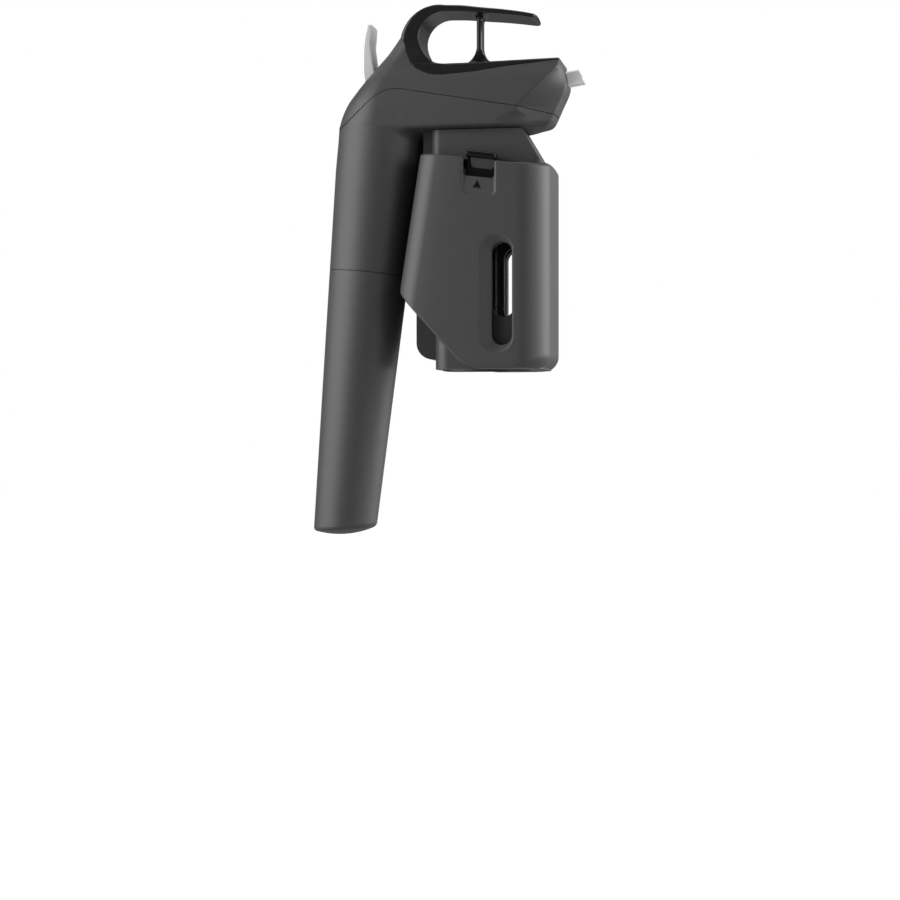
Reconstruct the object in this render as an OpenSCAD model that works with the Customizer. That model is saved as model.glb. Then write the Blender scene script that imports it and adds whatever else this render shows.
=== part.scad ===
// Hand-held wine preservation dispenser that clamps on a bottle neck.
// Origin: on the axis of the neck, at mid height of the clamp's grip.
// +X points the way the spout pours, +Z is up, the handle is at -X.
// Right means -Y and left means +Y. All sizes are in millimetres.

/* [Neck clamp] */
// Radius of the neck that the pads close on
neck_r = 14.5; // [13.5:0.1:14.8]
// Height of the pads' grip
grip_h = 15; // [11:1:16]
// Width of each pad, front to back
pad_w = 15.6; // [14:0.2:17]
// Thickness of the clamp arms
arm_t = 1.8; // [1.4:0.1:2.2]
// Front-to-back width of the clamp arms
arm_w = 28; // [26:1:30]
// Height of the arms' pivot above the grip
pivot_z = 58; // [54:1:60]
// Diameter of the pivot pins
pivot_d = 2.8; // [2.2:0.1:3.2]

/* [Base] */
// Height of the bottle lip's seat above the grip
lip_z = 69.9; // [68:0.1:72]
// Radius of the bore that takes the bottle's neck
bore_r = 15.2; // [15:0.1:16]
// Half width of the frame round the bore
frame_hw = 18; // [17.6:0.1:18.4]
// Back face of the frame
frame_back = -23.5; // [-24:0.1:-23]
// Front face of the frame
frame_front = 21.9; // [20:0.1:22]
// Underside of the frame
frame_bottom = -10.4; // [-13:0.1:-9.5]
// Half width of the tower on top of the frame
tower_hw = 13.5; // [12:0.1:14]
// Top of the tower
tower_top = 89.7; // [87:0.1:91]
// Thickness of the seat's gasket
gasket_t = 1.2; // [0.8:0.1:1.4]
// Radius of the needle's guide plug
guide_r = 8; // [6:0.5:9]
// Height of the needle's guide plug
guide_h = 8.6; // [7:0.2:10]

/* [Side covers] */
// Half width of the whole base over the covers
cover_hw = 26; // [25.5:0.1:28]
// Wall of the covers
cover_t = 2.2; // [1.6:0.1:2.3]
// Front face of the covers
cover_front = 24.9; // [23.8:0.1:26]
// Radius of the covers' front corners, seen from above
cover_corner_r = 13; // [8:0.5:14]
// Radius of the covers' back corners, seen from above
cover_back_r = 9; // [6:0.5:10]
// Half width of the opening at the back for the rail
cover_gap_hw = 12.5; // [11:0.5:14]
// Width of the sight window
window_w = 8.6; // [6:0.2:10]
// Height of the sight window
window_h = 42.4; // [30:0.2:44]
// Centre of the sight window, front to back
window_x = 6.2; // [4:0.1:7]
// Width of the latch notch
notch_w = 13; // [12.6:0.1:14]

/* [Latches] */
// Width of a latch
latch_w = 11.9; // [9:0.1:12]
// Travel of a latch
latch_travel = 3; // [2:0.5:4]
// Height of a latch's bar above the grip
latch_bar_z = 78.7; // [78:0.1:80]

/* [Head] */
// Height that the head lifts
lift = 65; // [50:1:68]
// Wall of the head's shells
shell_t = 2.2; // [1.8:0.1:2.6]
// Half width of the head at its widest
head_hw = 18.2; // [17:0.1:20]
// Half width of the handle loop
loop_hw = 11; // [9:0.5:12]
// Radius inside the handle loop
loop_r = 10.8; // [9.5:0.1:12]
// Half width of the post under the loop
post_hw = 3.5; // [2.5:0.5:5]
// Thickness of the post, front to back
post_t = 1.9; // [1.4:0.1:3]

/* [Handle tube and cup] */
// Angle that the tube leans back, downwards
lean = 5.52; // [4:0.1:7]
// Height of the joint between tube and cup
seam_z = 31; // [25:0.5:36]
// Radius of the tube at that joint
seam_r = 16.84; // [16.4:0.1:18]
// Taper of the tube and the cup, per millimetre of length
taper = 0.0326; // [0.02:0.001:0.04]
// Length of the cup
cup_len = 111.4; // [108:0.2:116]
// Wall of the cup
cup_t = 2; // [1.6:0.1:2.4]
// Radius of the cup's domed bottom
cup_dome_r = 37; // [30:1:60]
// Diameter of the gas capsule
capsule_d = 18.6; // [17:0.1:19]
// Length of the gas capsule
capsule_len = 82.5; // [70:0.5:84]
// Pitch of the cup's thread
thread_pitch = 3; // [2:0.5:4]

/* [Needle and valve] */
// Diameter of the needle
needle_d = 1.6; // [1.2:0.1:2.2]
// Diameter of the needle's bore
needle_bore_d = 0.9; // [0.6:0.1:1]
// Height of the needle's tip above the grip
tip_z = 9.6; // [9:0.2:20]
// Half width of the valve's body
valve_hw = 7; // [6:0.5:7.5]
// Diameter of the valve's plunger
plunger_d = 3.2; // [2.4:0.2:4]

/* [Spout] */
// Width of the spout
spout_w = 7.2; // [6:0.2:9]
// Height of the spout
spout_h = 6; // [5:0.2:6.6]
// Wall of the spout
spout_t = 0.8; // [0.5:0.1:1.2]
// Angle at which the spout rises
spout_rise = 9.5; // [5:0.5:14]

/* [Trigger] */
// Width of the trigger
trigger_w = 12; // [9:0.5:13]
// Diameter of the trigger's pin
trigger_pin_d = 3; // [2.4:0.2:3.6]

/* [Hidden] */
$fn = 64;

body_grey = [0.29, 0.29, 0.3];
gloss_black = [0.07, 0.07, 0.08];
rail_black = [0.12, 0.12, 0.13];
steel = [0.78, 0.79, 0.8];
satin = [0.7, 0.71, 0.72];
brass = [0.76, 0.62, 0.32];
rubber = [0.09, 0.09, 0.09];
alloy = [0.6, 0.62, 0.65];

// Gaps between pieces
fit = 0.05;            // running fit of a pin or a plunger
slip = 0.3;            // free gap between moving faces
seat = 0.1;            // gap of a piece dropped in its seat
eps = 0.01;
far = 200;             // longer than the object

// Mirrors its children to the left side
module left_side() { mirror([0, 1, 0]) children(); }
// Draws its children on both sides
module both_sides() { children(); left_side() children(); }
// Extrudes an outline drawn in X and Z, from y0 to y1
module side_plate(y0, y1) {
    translate([0, y1, 0]) rotate([90, 0, 0]) linear_extrude(y1 - y0) children();
}
// A circle's arc as points, centre c, from angle a0 to a1
function arc(c, r, a0, a1, n = 8) =
    [for (i = [0:n]) let (a = a0 + (a1 - a0)*i/n) c + r*[cos(a), sin(a)]];
// Faces of a solid skinned over rings of equal length, with flat caps
function skin_faces(rings, n) = concat(
    [[for (j = [0:n - 1]) j]],
    [for (i = [0:rings - 2], j = [0:n - 1]) let (k = (j + 1)%n) [i*n + j, (i + 1)*n + j, (i + 1)*n + k]],
    [for (i = [0:rings - 2], j = [0:n - 1]) let (k = (j + 1)%n) [i*n + j, (i + 1)*n + k, i*n + k]],
    [[for (j = [n - 1:-1:0]) (rings - 1)*n + j]]);
module skin(rings) {
    n = len(rings[0]);
    polyhedron([for (r = rings) each r], skin_faces(len(rings), n), convexity = 6);
}
function unit(v) = v/norm(v);
// A tube of radius r swept along points, with rings square to the path
function tube_rings(path, r, sides) = let (last = len(path) - 1)
    [for (i = [0:last])
        let (t = unit(path[min(i + 1, last)] - path[max(i - 1, 0)]),
            side = unit(cross(t, abs(t[1]) > 0.9 ? [1, 0, 0] : [0, 1, 0])), up = cross(side, t))
        [for (j = [0:sides - 1]) path[i] + r*(cos(-360*j/sides)*side + sin(-360*j/sides)*up)]];
coil_ring_count = 8;
// Least gap between neighbouring turns of a coil, measured on its points
function least_gap(path, wire_d) =
    min([for (i = [0:len(path) - 1 - coil_ring_count]) norm(path[i + coil_ring_count] - path[i])]) - wire_d;
// A round wire coil along +Z, one unbroken tube
module coil(mean_r, wire_d, height, curls) {
    n = curls*coil_ring_count;
    h = height - wire_d;
    path = [for (i = [0:n]) [mean_r*cos(360*i/coil_ring_count), mean_r*sin(360*i/coil_ring_count),
        wire_d/2 + h*i/n]];
    echo(coil_gap = least_gap(path, wire_d));
    skin(coil_rings(path, wire_d/2));
}
// Rings of a coil stay in planes through the coil's axis, which keeps them from twisting
function coil_rings(path, r) =
    [for (p = path) let (out = unit([p[0], p[1], 0]))
        [for (j = [0:5]) p + r*(cos(60*j)*out + sin(60*j)*[0, 0, 1])]];

// ---- Base -------------------------------------------------------------------------

cover_top_slope = -0.128;
cover_top_back = 79;            // top of the covers at their back corner
cover_top_front = 74;           // and along their front, where it is level
cover_back_top = -29.1;         // back corner of the covers, at the top
cover_back_low = -37.9;         // back corner of the covers, above the slanted cut
cover_low_z = 21.5;             // height of that corner
cover_foot_x = -9;              // where the slanted cut meets the bottom edge
cover_bend_x = cover_back_top + (cover_top_front - cover_top_back)/cover_top_slope;
function cover_top(x) = max(cover_top_front, cover_top_back + cover_top_slope*(x - cover_back_top));
cover_lean = atan((cover_back_top - cover_back_low)/(cover_top_back - cover_low_z));

frame_top_drop = cover_t + 0.3;
frame_corner_r = 6;
tower_corner_r = 4;
tower_back = frame_back - 2.1;  // it clasps the rail's sides
tower_front_top = 12.6;
guide_z = lip_z + gasket_t;
collar_r = 4.4;                 // needle nut
tower_bore_r = collar_r + 2.1;

// Rounded rectangle in plan, between x0 and x1
module plan(x0, x1, hw, r, h0, h1) {
    translate([0, 0, h0]) linear_extrude(h1 - h0) union() {
        for (x = [x0 + r, x1 - r], y = [-1, 1]) translate([x, y*(hw - r)]) circle(r);
        translate([x0 + r, -hw]) square([x1 - x0 - 2*r, 2*hw]);
        translate([x0, r - hw]) square([x1 - x0, 2*(hw - r)]);
    }
}
module lower_block(grow = 0) {
    intersection() {
        plan(frame_back - grow, frame_front + grow, frame_hw + grow, frame_corner_r,
            frame_bottom - eps, 80);
        side_plate(-30, 30) polygon([[frame_back - 1, frame_bottom], [frame_front + 1, frame_bottom],
            [frame_front + 1, cover_top_front - frame_top_drop + grow],
            [cover_bend_x, cover_top_front - frame_top_drop + grow],
            [frame_back - 1, cover_top(frame_back - 1) - frame_top_drop + grow]]);
    }
}
module tower(grow = 0) {
    intersection() {
        plan(tower_back - grow, frame_front + grow, tower_hw + grow, tower_corner_r, 60, tower_top + grow);
        side_plate(-30, 30) polygon([[tower_back - 1, 60], [frame_front + grow, 60],
            [frame_front + grow, 74], [tower_front_top + grow, tower_top + grow],
            [tower_back - 1, tower_top + grow]]);
    }
}

barrel_r = 2.3;
pivot_y = frame_hw + barrel_r + 0.1; // distance of the pivot from the middle
lug_w = 2.5;
arm_x0 = -1 - arm_w/2;
arm_x1 = arm_x0 + arm_w;
arm_y = frame_hw + 0.4;         // inner face of the arms
module lug(x0) {
    translate([x0, -pivot_y, pivot_z]) rotate([0, 90, 0]) cylinder(r = barrel_r, h = lug_w);
    translate([x0, -pivot_y, pivot_z - barrel_r]) cube([lug_w, pivot_y - frame_hw + 1, 2*barrel_r]);
}
spring_ledge_z = latch_bar_z - 5.5;
latch_x = -2.95;                // middle of the latches and their notches
latch_y = frame_hw + 2.6;       // inner face of a latch's plate
latch_t = 1.8;
latch_foot_z = spring_ledge_z - latch_travel - 4.2;
ledge_t = 1.2;
spring_foot_w = 4;              // width of the ledges above and below a latch's spring
module latch_guides() {
    for (side = [-1, 1])
        translate([latch_x + side*(latch_w/2 + slip + 0.8) - 0.8, -latch_y - latch_t, latch_foot_z - 2])
        cube([1.6, latch_t + 3, 8]);
    translate([latch_x - spring_foot_w/2, -latch_y + slip, spring_ledge_z])
        cube([spring_foot_w, latch_y - frame_hw + 1, ledge_t]);
}

rail_front = frame_back - 0.7;  // front face of the rail's bar
rail_hw = 8;
web_hw = 3;
tee_hw = 6;
tee_t = 2.6;
tee_back = frame_back + 1.9;
foot_hw = 7.5;
foot_h = 5;
rail_bottom = -6;
module tee_slot() {
    top = far;
    translate([tee_back - slip, -tee_hw - slip, frame_bottom - 1])
        cube([tee_t + 2*slip, 2*(tee_hw + slip), top]);
    translate([frame_back - 1, -web_hw - slip, frame_bottom - 1])
        cube([tee_back - frame_back + 2, 2*(web_hw + slip), top]);
    translate([tee_back - slip, -foot_hw - slip, frame_bottom - 1])
        cube([tee_t + 2*slip, 2*(foot_hw + slip), rail_bottom + foot_h + lift + slip - frame_bottom + 1]);
}
glide_t = 1.1;
glide_hw = 3.4;
glide_y = web_hw + 3;
glide_z0 = 8;
glide_h = 60;
module glide(grow = 0) {
    translate([frame_back - 0.5, glide_y - glide_hw/2 - grow, glide_z0 - grow])
        cube([glide_t + grow, glide_hw + 2*grow, glide_h + 2*grow]);
}

window_z = 20.3;
module stadium(w, h) {
    translate([0, h/2 - w/2]) circle(w/2);
    translate([0, w/2 - h/2]) circle(w/2);
    square([w, h - w], center = true);
}
peg_r = 1.8;
pegs = [[18.4, 65], [18.4, -3], [-19, 66], [-19.5, 12]];
pad_gap = 0.8;                  // room round a pad in its window

module base_frame() {
    color(body_grey) difference() {
        union() {
            lower_block();
            tower();
            both_sides() {
                lug(arm_x0 - lug_w - slip);
                lug(arm_x1 + slip);
                latch_guides();
            }
        }
        translate([0, 0, frame_bottom - 1]) cylinder(r = bore_r, h = guide_z - frame_bottom + 1);
        cylinder(r = guide_r + seat, h = guide_z + guide_h + seat);
        cylinder(r = tower_bore_r, h = far);
        tee_slot();
        translate([-60, -rail_hw - slip, 60])
            cube([60 + rail_front + slip, 2*(rail_hw + slip), far]);
        both_sides() {
            glide(seat);
            translate([-pad_w/2 - pad_gap, -far, -grip_h/2 - pad_gap])
                cube([pad_w + 2*pad_gap, far, grip_h + 2*pad_gap]);
            side_plate(-far, 0) translate([window_x, (window_z + window_h/2 + grip_h/2 + 4.5)/2])
                stadium(window_w + 1.6, window_z + window_h/2 - grip_h/2 - 2.5);
            translate([-far/2, -pivot_y, pivot_z]) rotate([0, 90, 0]) cylinder(d = pivot_d, h = far);
            for (p = pegs) translate([p[0], -frame_hw + 4, p[1]]) rotate([90, 0, 0])
                cylinder(r = peg_r + seat, h = 9);
        }
    }
}

// Side outline of a cover, drawn in by the wall where asked
module cover_outline(d = 0) {
    r_low = 4.8;
    r_top = 4.2;
    foot_z = frame_bottom + d;
    xf = cover_front - d;
    r_foot = 14;                // where the slanted cut runs into the bottom edge
    slant = atan2(cover_low_z - frame_bottom, cover_foot_x - cover_back_low);
    polygon(concat(
        arc([xf - r_low, foot_z + r_low], r_low, -90, 0),
        arc([xf - r_top, cover_top_front - d - r_top], r_top, 0, 90),
        [[cover_bend_x, cover_top_front - d]],
        arc([cover_back_top + d + 3, cover_top_back - d - 3.2], 2.6, 85, 170),
        [[cover_back_low + d, cover_low_z]],
        [[cover_back_low + d + 0.6, cover_low_z - 2.2 + d*0.2]],
        arc([cover_foot_x + r_foot/2 + d*0.6, foot_z + r_foot], r_foot, 270 - slant, 270)));
}
// Outer form of both covers, drawn in by d
module cover_form(d = 0) {
    intersection() {
        side_plate(-cover_hw - 1, cover_hw + 1) cover_outline(d);
        plan(-60, cover_front - d, cover_hw - d, cover_corner_r - d, -40, 100);
        translate([cover_back_low, 0, cover_low_z]) rotate([0, cover_lean, 0])
            plan(d, 90, cover_hw - d, cover_back_r - d, -60, 100);
    }
}
scoop = 4.8;                    // reach of the scoop behind the window
scoop_rim = 0.4;                // and in front of it
scoop_ends = 6.4;               // and past both ends together
notch_z = 68.8;
pocket_h = 8;
pocket_w = notch_w - 0.8;
// Room inside a cover for the arm, its lugs and spring, and the latch with its guides
module room_in_cover() {
    lug_reach = lug_w + 2*slip;
    spring_reach = spring_r + spring_wire/2 + slip;
    latch_room_hw = latch_w/2 + 2*slip + 1.6;
    translate([arm_x0 - lug_reach, -pivot_y, pivot_z]) rotate([0, 90, 0])
        cylinder(r = barrel_r + slip, h = arm_w + 2*lug_reach);
    translate([arm_x0 - slip, -arm_y - arm_t - slip, -grip_h/2 - slip])
        cube([arm_w + 2*slip, arm_t + slip, pivot_z + grip_h/2]);
    translate([arm_x0 + arm_w/2 - spring_hw, -pivot_y - spring_reach, pivot_z - spring_leg_low - slip])
        cube([2*spring_hw, spring_reach, spring_leg_low + spring_leg_up + 2*slip]);
    translate([latch_x - latch_room_hw, -latch_y - latch_t - slip, latch_foot_z - 2 - slip])
        cube([2*latch_room_hw, latch_t + slip, spring_ledge_z - latch_foot_z + ledge_t]);
}
module side_cover_right() {
    y_in = cover_hw - cover_t;
    color(body_grey) difference() {
        union() {
            intersection() {
                difference() {
                    cover_form();
                    cover_form(cover_t);
                    lower_block(0.15);
                    tower(0.25);
                }
                translate([-far/2, -far - seat/2, -far/2]) cube([far, far, far]);
            }
            intersection() {
                cover_form(1);
                for (p = pegs) translate([p[0], -frame_hw - 0.15, p[1]]) rotate([90, 0, 0])
                    cylinder(r = peg_r + 1, h = 12);
            }
            for (p = pegs) translate([p[0], -frame_hw + 2, p[1]]) rotate([90, 0, 0])
                cylinder(r = peg_r, h = 4);
        }
        room_in_cover();
        translate([-60, -cover_gap_hw, -60]) cube([60 + frame_back - 0.15, 2*cover_gap_hw, 160]);
        // sight window with its scoop towards the handle
        side_plate(-far, 0) translate([window_x, window_z]) stadium(window_w, window_h);
        hull() {
            side_plate(-cover_hw - 1, -cover_hw) translate([window_x - (scoop - scoop_rim)/2, window_z])
                stadium(window_w + scoop + scoop_rim, window_h + scoop_ends, $fn = 32);
            side_plate(-y_in, -y_in + 0.4) translate([window_x - 0.2, window_z])
                stadium(window_w - 1.2, window_h - 1.2, $fn = 32);
        }
        // latch notch and the finger pocket under it
        side_plate(-far, -tower_hw) {
            translate([latch_x - 0.4, notch_z + 20]) square([notch_w, 40], center = true);
            for (s = [-1, 1]) translate([latch_x - 0.4 + s*(notch_w/2 - 1.3), notch_z]) circle(1.3);
            translate([latch_x - 0.4, notch_z]) square([notch_w - 2.6, 2.6], center = true);
        }
        translate([latch_x - 0.4 - pocket_w/2, -cover_hw, notch_z - pocket_h]) rotate([-9.5, 0, 0])
            translate([0, -4, 0]) cube([pocket_w, 4, pocket_h + 2]);
    }
}
module side_cover_left() { left_side() side_cover_right(); }

module needle_guide() {
    color(rubber) difference() {
        union() {
            translate([0, 0, guide_z]) cylinder(r = guide_r, h = guide_h);
            translate([0, 0, guide_z + guide_h - eps]) cylinder(r = tower_bore_r - seat, h = 2);
        }
        translate([0, 0, guide_z - 1]) cylinder(d = needle_d + 2*fit, h = far);
    }
}
module lip_gasket() {
    color(rubber) translate([0, 0, lip_z]) difference() {
        cylinder(r = bore_r - seat, h = gasket_t);
        translate([0, 0, -1]) cylinder(r = 3.5, h = gasket_t + 2);
    }
}
module rail_glides() { color([0.85, 0.85, 0.83]) both_sides() glide(); }
module clamp_pins() {
    color(steel) both_sides() translate([arm_x0 - lug_w - slip, -pivot_y, pivot_z]) rotate([0, 90, 0])
        cylinder(d = pivot_d - 2*fit, h = arm_w + 2*(lug_w + slip));
}

// ---- Clamp ------------------------------------------------------------------------

spring_hw = 3.2;                // half of the gap in the barrel for the spring
// Keeps a piece of the clamp inside the covers' side outline, wall and slip drawn off
module inside_covers() {
    intersection() {
        children();
        side_plate(-far, far) cover_outline(cover_t + slip);
    }
}
module clamp_arm_right() {
    color(rail_black) difference() {
        union() {
            inside_covers() translate([arm_x0, -arm_y - arm_t, -grip_h/2])
                cube([arm_w, arm_t, pivot_z + grip_h/2 - 0.5]);
            translate([arm_x0, -pivot_y, pivot_z]) rotate([0, 90, 0]) cylinder(r = barrel_r, h = arm_w);
        }
        translate([arm_x0 - 1, -pivot_y, pivot_z]) rotate([0, 90, 0])
            cylinder(d = pivot_d + 2*fit, h = arm_w + 2);
        translate([arm_x0 + arm_w/2 - spring_hw, -pivot_y - 4, pivot_z - barrel_r - 1.5])
            cube([2*spring_hw, 8, far]);
        side_plate(-far, 0) translate([window_x, (window_z + window_h/2 + grip_h/2 + 3.5)/2])
            stadium(window_w + 1, window_z + window_h/2 - grip_h/2 - 3.5);
    }
}
module clamp_arm_left() { left_side() clamp_arm_right(); }
module clamp_pad_right() {
    color(rubber) inside_covers() translate([0, 0, -grip_h/2]) linear_extrude(grip_h) difference() {
        translate([-pad_w/2, -arm_y]) square([pad_w, arm_y - 8]);
        circle(r = neck_r, $fn = 128);
    }
}
module clamp_pad_left() { left_side() clamp_pad_right(); }
// Torsion spring round the pivot pin, with a leg down the arm and one up the frame
spring_wire = 0.6;
spring_r = pivot_d/2 + 0.6;
spring_curls = 4;
spring_leg_up = 5;
spring_leg_low = 6;
module clamp_spring_right() {
    n = spring_curls*coil_ring_count;
    span = 2*spring_hw - spring_wire - 1;
    coil_path = [for (i = [0:n]) [-span/2 + span*i/n, spring_r*cos(180 + 360*i/coil_ring_count),
        spring_r*sin(180 + 360*i/coil_ring_count)]];
    echo(clamp_spring_gap = least_gap(coil_path, spring_wire));
    rings = [for (p = coil_path) let (out = unit([0, p[1], p[2]]))
        [for (j = [0:5]) p + spring_wire/2*(cos(60*j)*out + sin(60*j)*[1, 0, 0])]];
    leg = function (p, dz) [for (j = [0:5])
        p + [0, 0, dz] + spring_wire/2*(cos(60*j)*unit([0, p[1], 0]) + sin(60*j)*[1, 0, 0])];
    color(steel) translate([arm_x0 + arm_w/2, -pivot_y, pivot_z])
        skin(concat([leg(coil_path[0], spring_leg_up)], rings, [leg(coil_path[n], -spring_leg_low)]));
}
module clamp_spring_left() { left_side() clamp_spring_right(); }

// ---- Latches ----------------------------------------------------------------------

latch_bar_r = 1.6;
latch_bar_y = tower_hw + 1 + latch_bar_r;
latch_spring_d = 2;
latch_spring_h = spring_ledge_z - latch_foot_z - ledge_t - 0.2;
module latch_right() {
    color(gloss_black) union() {
        translate([latch_x - latch_w/2, -latch_y - latch_t, latch_foot_z])
            cube([latch_w, latch_t, latch_bar_z - latch_foot_z]);
        translate([latch_x - latch_w/2, -latch_y - latch_t, latch_bar_z - latch_bar_r])
            cube([latch_w, latch_y + latch_t - latch_bar_y, 2*latch_bar_r]);
        for (y = [latch_bar_y, latch_y + latch_t]) translate([latch_x - latch_w/2, -y, latch_bar_z])
            rotate([0, 90, 0]) cylinder(r = latch_bar_r, h = latch_w);
        translate([latch_x - spring_foot_w/2, -latch_y - 0.5, latch_foot_z])
            cube([spring_foot_w, latch_y - frame_hw - slip + 0.5, ledge_t]);
    }
}
module latch_left() { left_side() latch_right(); }
module latch_spring_right() {
    color(steel) translate([latch_x, -frame_hw - 1.3, latch_foot_z + ledge_t + 0.1])
        coil(latch_spring_d/2 - 0.2, 0.4, latch_spring_h, 4);
}
module latch_spring_left() { left_side() latch_spring_right(); }

// ---- Head's outer form --------------------------------------------------------------

head_floor = tower_top + 0.3;   // underside of the head
head_top = 118.5;
// Outer form by height: back, front, half width, length of the rounded back
back_at = [[90, -67.2], [92.7, -67.1], [96.1, -66.2], [99.4, -64.9], [102.8, -63.2], [106.1, -60.6],
    [109.5, -58], [119.5, -49.3], [122.8, -45.9], [126.1, -43.6], [131, -40.6]];
front_at = [[90, 19.6], [91, 20.9], [93.7, 23], [100.3, 26.8], [105.3, 29], [107.8, 30], [109.5, 29.8],
    [115, 28.3], [118.5, 26.7], [131, 24]];
half_at = [[90, -3.7], [90.8, -1.9], [92.5, -0.6], [95, 0], [104, -0.2], [110, -1.6], [118.5, -5.4],
    [124, -6], [131, -7.6]];
round_at = [[90, 18.6], [99, 17.6], [106, 14], [112, 10], [119, 8], [131, 6]];
nose_at = [[90, 9], [98.3, 11.4], [114, 25.5], [118.5, 25.5], [131, 22]];
nose_hw = 8;
head_levels = [90, 90.8, 92.5, 95, 98.3, 101, 104, 106.1, 107.8, 109.5, 112, 114, 116, 117.6, 118.5,
    120, 122.8, 126.1, 129, 131];
function head_ring(z, d) = let (dz = head_floor - 90, zz = z - dz,
        hw = head_hw + lookup(zz, half_at) - d, xb = lookup(zz, back_at) + d, xf = lookup(zz, front_at) - d,
        lb = max(lookup(zz, round_at) - d, 2), xn = min(lookup(zz, nose_at), xf - 1.2),
            wn = min(nose_hw - d, hw))
    concat([for (a = [90:7.5:270]) [xb + lb + lb*cos(a), hw*sin(a), z]],
        [[xn, -hw, z], [xf - 1, -wn, z], [xf, -wn + 1.4, z], [xf, wn - 1.4, z], [xf - 1, wn, z],
            [xn, hw, z]]);
module head_stack(d, z0, z1) {
    inside = [for (z = head_levels)
        if (z + head_floor - 90 > z0 + 0.05 && z + head_floor - 90 < z1 - 0.05) z + head_floor - 90];
    skin([for (z = concat([z0], inside, [z1])) head_ring(z, d)]);
}
// Frame of the leaning tube: its origin is on the tube's axis at the joint
tube_x = -54.65;
module along_tube() { translate([tube_x, 0, seam_z]) rotate([0, lean, 0]) children(); }
// The parting line between the shells, and the edge of the gloss insert, in X and Z
seam_line = [[-75, 89.6], [-66, 91.4], [-60.9, 93.8], [-55, 98.4], [-50.5, 102.6], [-46.1, 105.6],
    [-41.8, 106.7], [-37.4, 106.4], [40, 93.3]];
insert_line = [[-60, 131], [-41.2, 130.2], [-38.4, 129.2], [-37.1, 126.1], [-36.3, 122.5], [-34.1, 117.5],
    [-31.6, 115.4], [-28.4, 113.7], [-25, 112.6], [-20.2, 112.4], [-7.3, 113.4], [5.5, 115.3],
        [28.5, 117.7], [40, 118.7]];
// Everything above a line, up to the given height
module above(line, shift = 0) {
    side_plate(-40, 40)
        polygon(concat([for (p = line) p + [0, shift]],
            [[line[len(line) - 1][0], 180], [line[0][0], 180]]));
}
tube_end_z = 92.7 + head_floor - 90;
module tube_form(d, s0) {
    intersection() {
        along_tube() translate([0, 0, s0])
            cylinder(r1 = seam_r + taper*s0 - d, r2 = seam_r + taper*70 - d, h = 70 - s0, $fn = 96);
        translate([-far, -far/2, -far/2]) cube([2*far, far, far/2 + tube_end_z]);
    }
}

ledge_s = 6.2;                  // seat of the regulator in the tube
flange_r = 14.3;
reg_r = 10.8;
spigot_r = 12.95;
rail_upper_back = -29.6;
trigger_x = -48;
trigger_z = 104;
trigger_boss_r = 3.4;
shell_screw_x = [-12.5, 11];
shell_screw_y = 10.2;
screw_r = 1.2;
screw_head_r = 2.3;
rail_screw_y = 9.8;
rail_screw_x = -27;
valve_screw_x = -1;
valve_screw_y = 9.6;
floor_top = head_floor + shell_t;

module lower_shell() {
    color(body_grey) difference() {
        union() {
            difference() {
                union() {
                    tube_form(0, 0.1);
                    head_stack(0, head_floor, 110);
                }
                above(seam_line, -0.08);
                tube_form(shell_t, -1);
                head_stack(shell_t, floor_top, 112);
            }
            // ledge that carries the regulator
            along_tube() translate([0, 0, ledge_s]) difference() {
                cylinder(r = seam_r - 1, h = 2.5);
                translate([0, 0, -1]) cylinder(r = reg_r + 0.2, h = 5);
            }
            // bosses for the trigger's pin, on the side walls
            both_sides() {
                translate([trigger_x, -trigger_w/2 - 2.2, trigger_z]) rotate([90, 0, 0])
                    cylinder(r = trigger_boss_r, h = 6);
                translate([trigger_x - trigger_boss_r, -trigger_w/2 - 8.2, trigger_z - 9])
                    cube([2*trigger_boss_r, 6, 9]);
                translate([trigger_x - trigger_boss_r, -head_hw + 1, trigger_z - 9])
                    cube([2*trigger_boss_r, 6, 5]);
            }
            both_sides() for (x = shell_screw_x) translate([x, shell_screw_y, floor_top - 1])
                cylinder(r = screw_head_r + 0.6, h = 2);
        }
        translate([trigger_x, trigger_w/2 + 8.4, trigger_z]) rotate([90, 0, 0])
            cylinder(d = trigger_pin_d + 2*fit, h = trigger_w + 16.8);
        cylinder(r = collar_r + 0.6, h = far);
        translate([rail_upper_back - 0.2, -rail_hw - 0.2, 60])
            cube([rail_front - rail_upper_back + 0.4, 2*rail_hw + 0.4, 33]);
        both_sides() {
            for (x = shell_screw_x) translate([x, shell_screw_y, head_floor]) {
                translate([0, 0, -1]) cylinder(r = screw_head_r + seat, h = 2.8);
                translate([0, 0, -1]) cylinder(r = screw_r + seat, h = 9);
            }
            translate([rail_screw_x, rail_screw_y, head_floor + 0.4]) cylinder(r = screw_r - 0.2, h = 9);
            translate([valve_screw_x, valve_screw_y, head_floor + 0.4]) cylinder(r = screw_r - 0.2, h = 9);
        }
    }
}

slot_x0 = -58.2;
slot_x1 = -46.4;
module top_cover() {
    color(body_grey) difference() {
        union() {
            difference() {
                intersection() {
                    head_stack(0, head_floor, 131 + head_floor - 90);
                    above(seam_line, 0.08);
                }
                difference() {
                    head_stack(shell_t, head_floor - 1, 127);
                    translate([2, -40, 113.4]) cube([60, 80, 40]);
                }
            }
            // screw bosses, joined to the side walls by ribs
            intersection() {
                head_stack(1, head_floor, 113);
                both_sides() for (x = shell_screw_x) {
                    translate([x, shell_screw_y, floor_top + 1.2]) cylinder(r = screw_head_r, h = 18);
                    translate([x - 0.8, shell_screw_y, 105]) cube([1.6, 9, 10]);
                }
            }
        }
        above(insert_line, -0.02);
        // slot for the trigger
        translate([slot_x0, -trigger_w/2 - 0.5, 100]) cube([slot_x1 - slot_x0, trigger_w + 1, 30]);
        both_sides() for (x = shell_screw_x) translate([x, shell_screw_y, floor_top])
            cylinder(r = screw_r - 0.2, h = 12);
        spout_solid(0.1);
    }
}

// ---- Handle loop --------------------------------------------------------------------

loop_c = [-20.4, 129];
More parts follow.
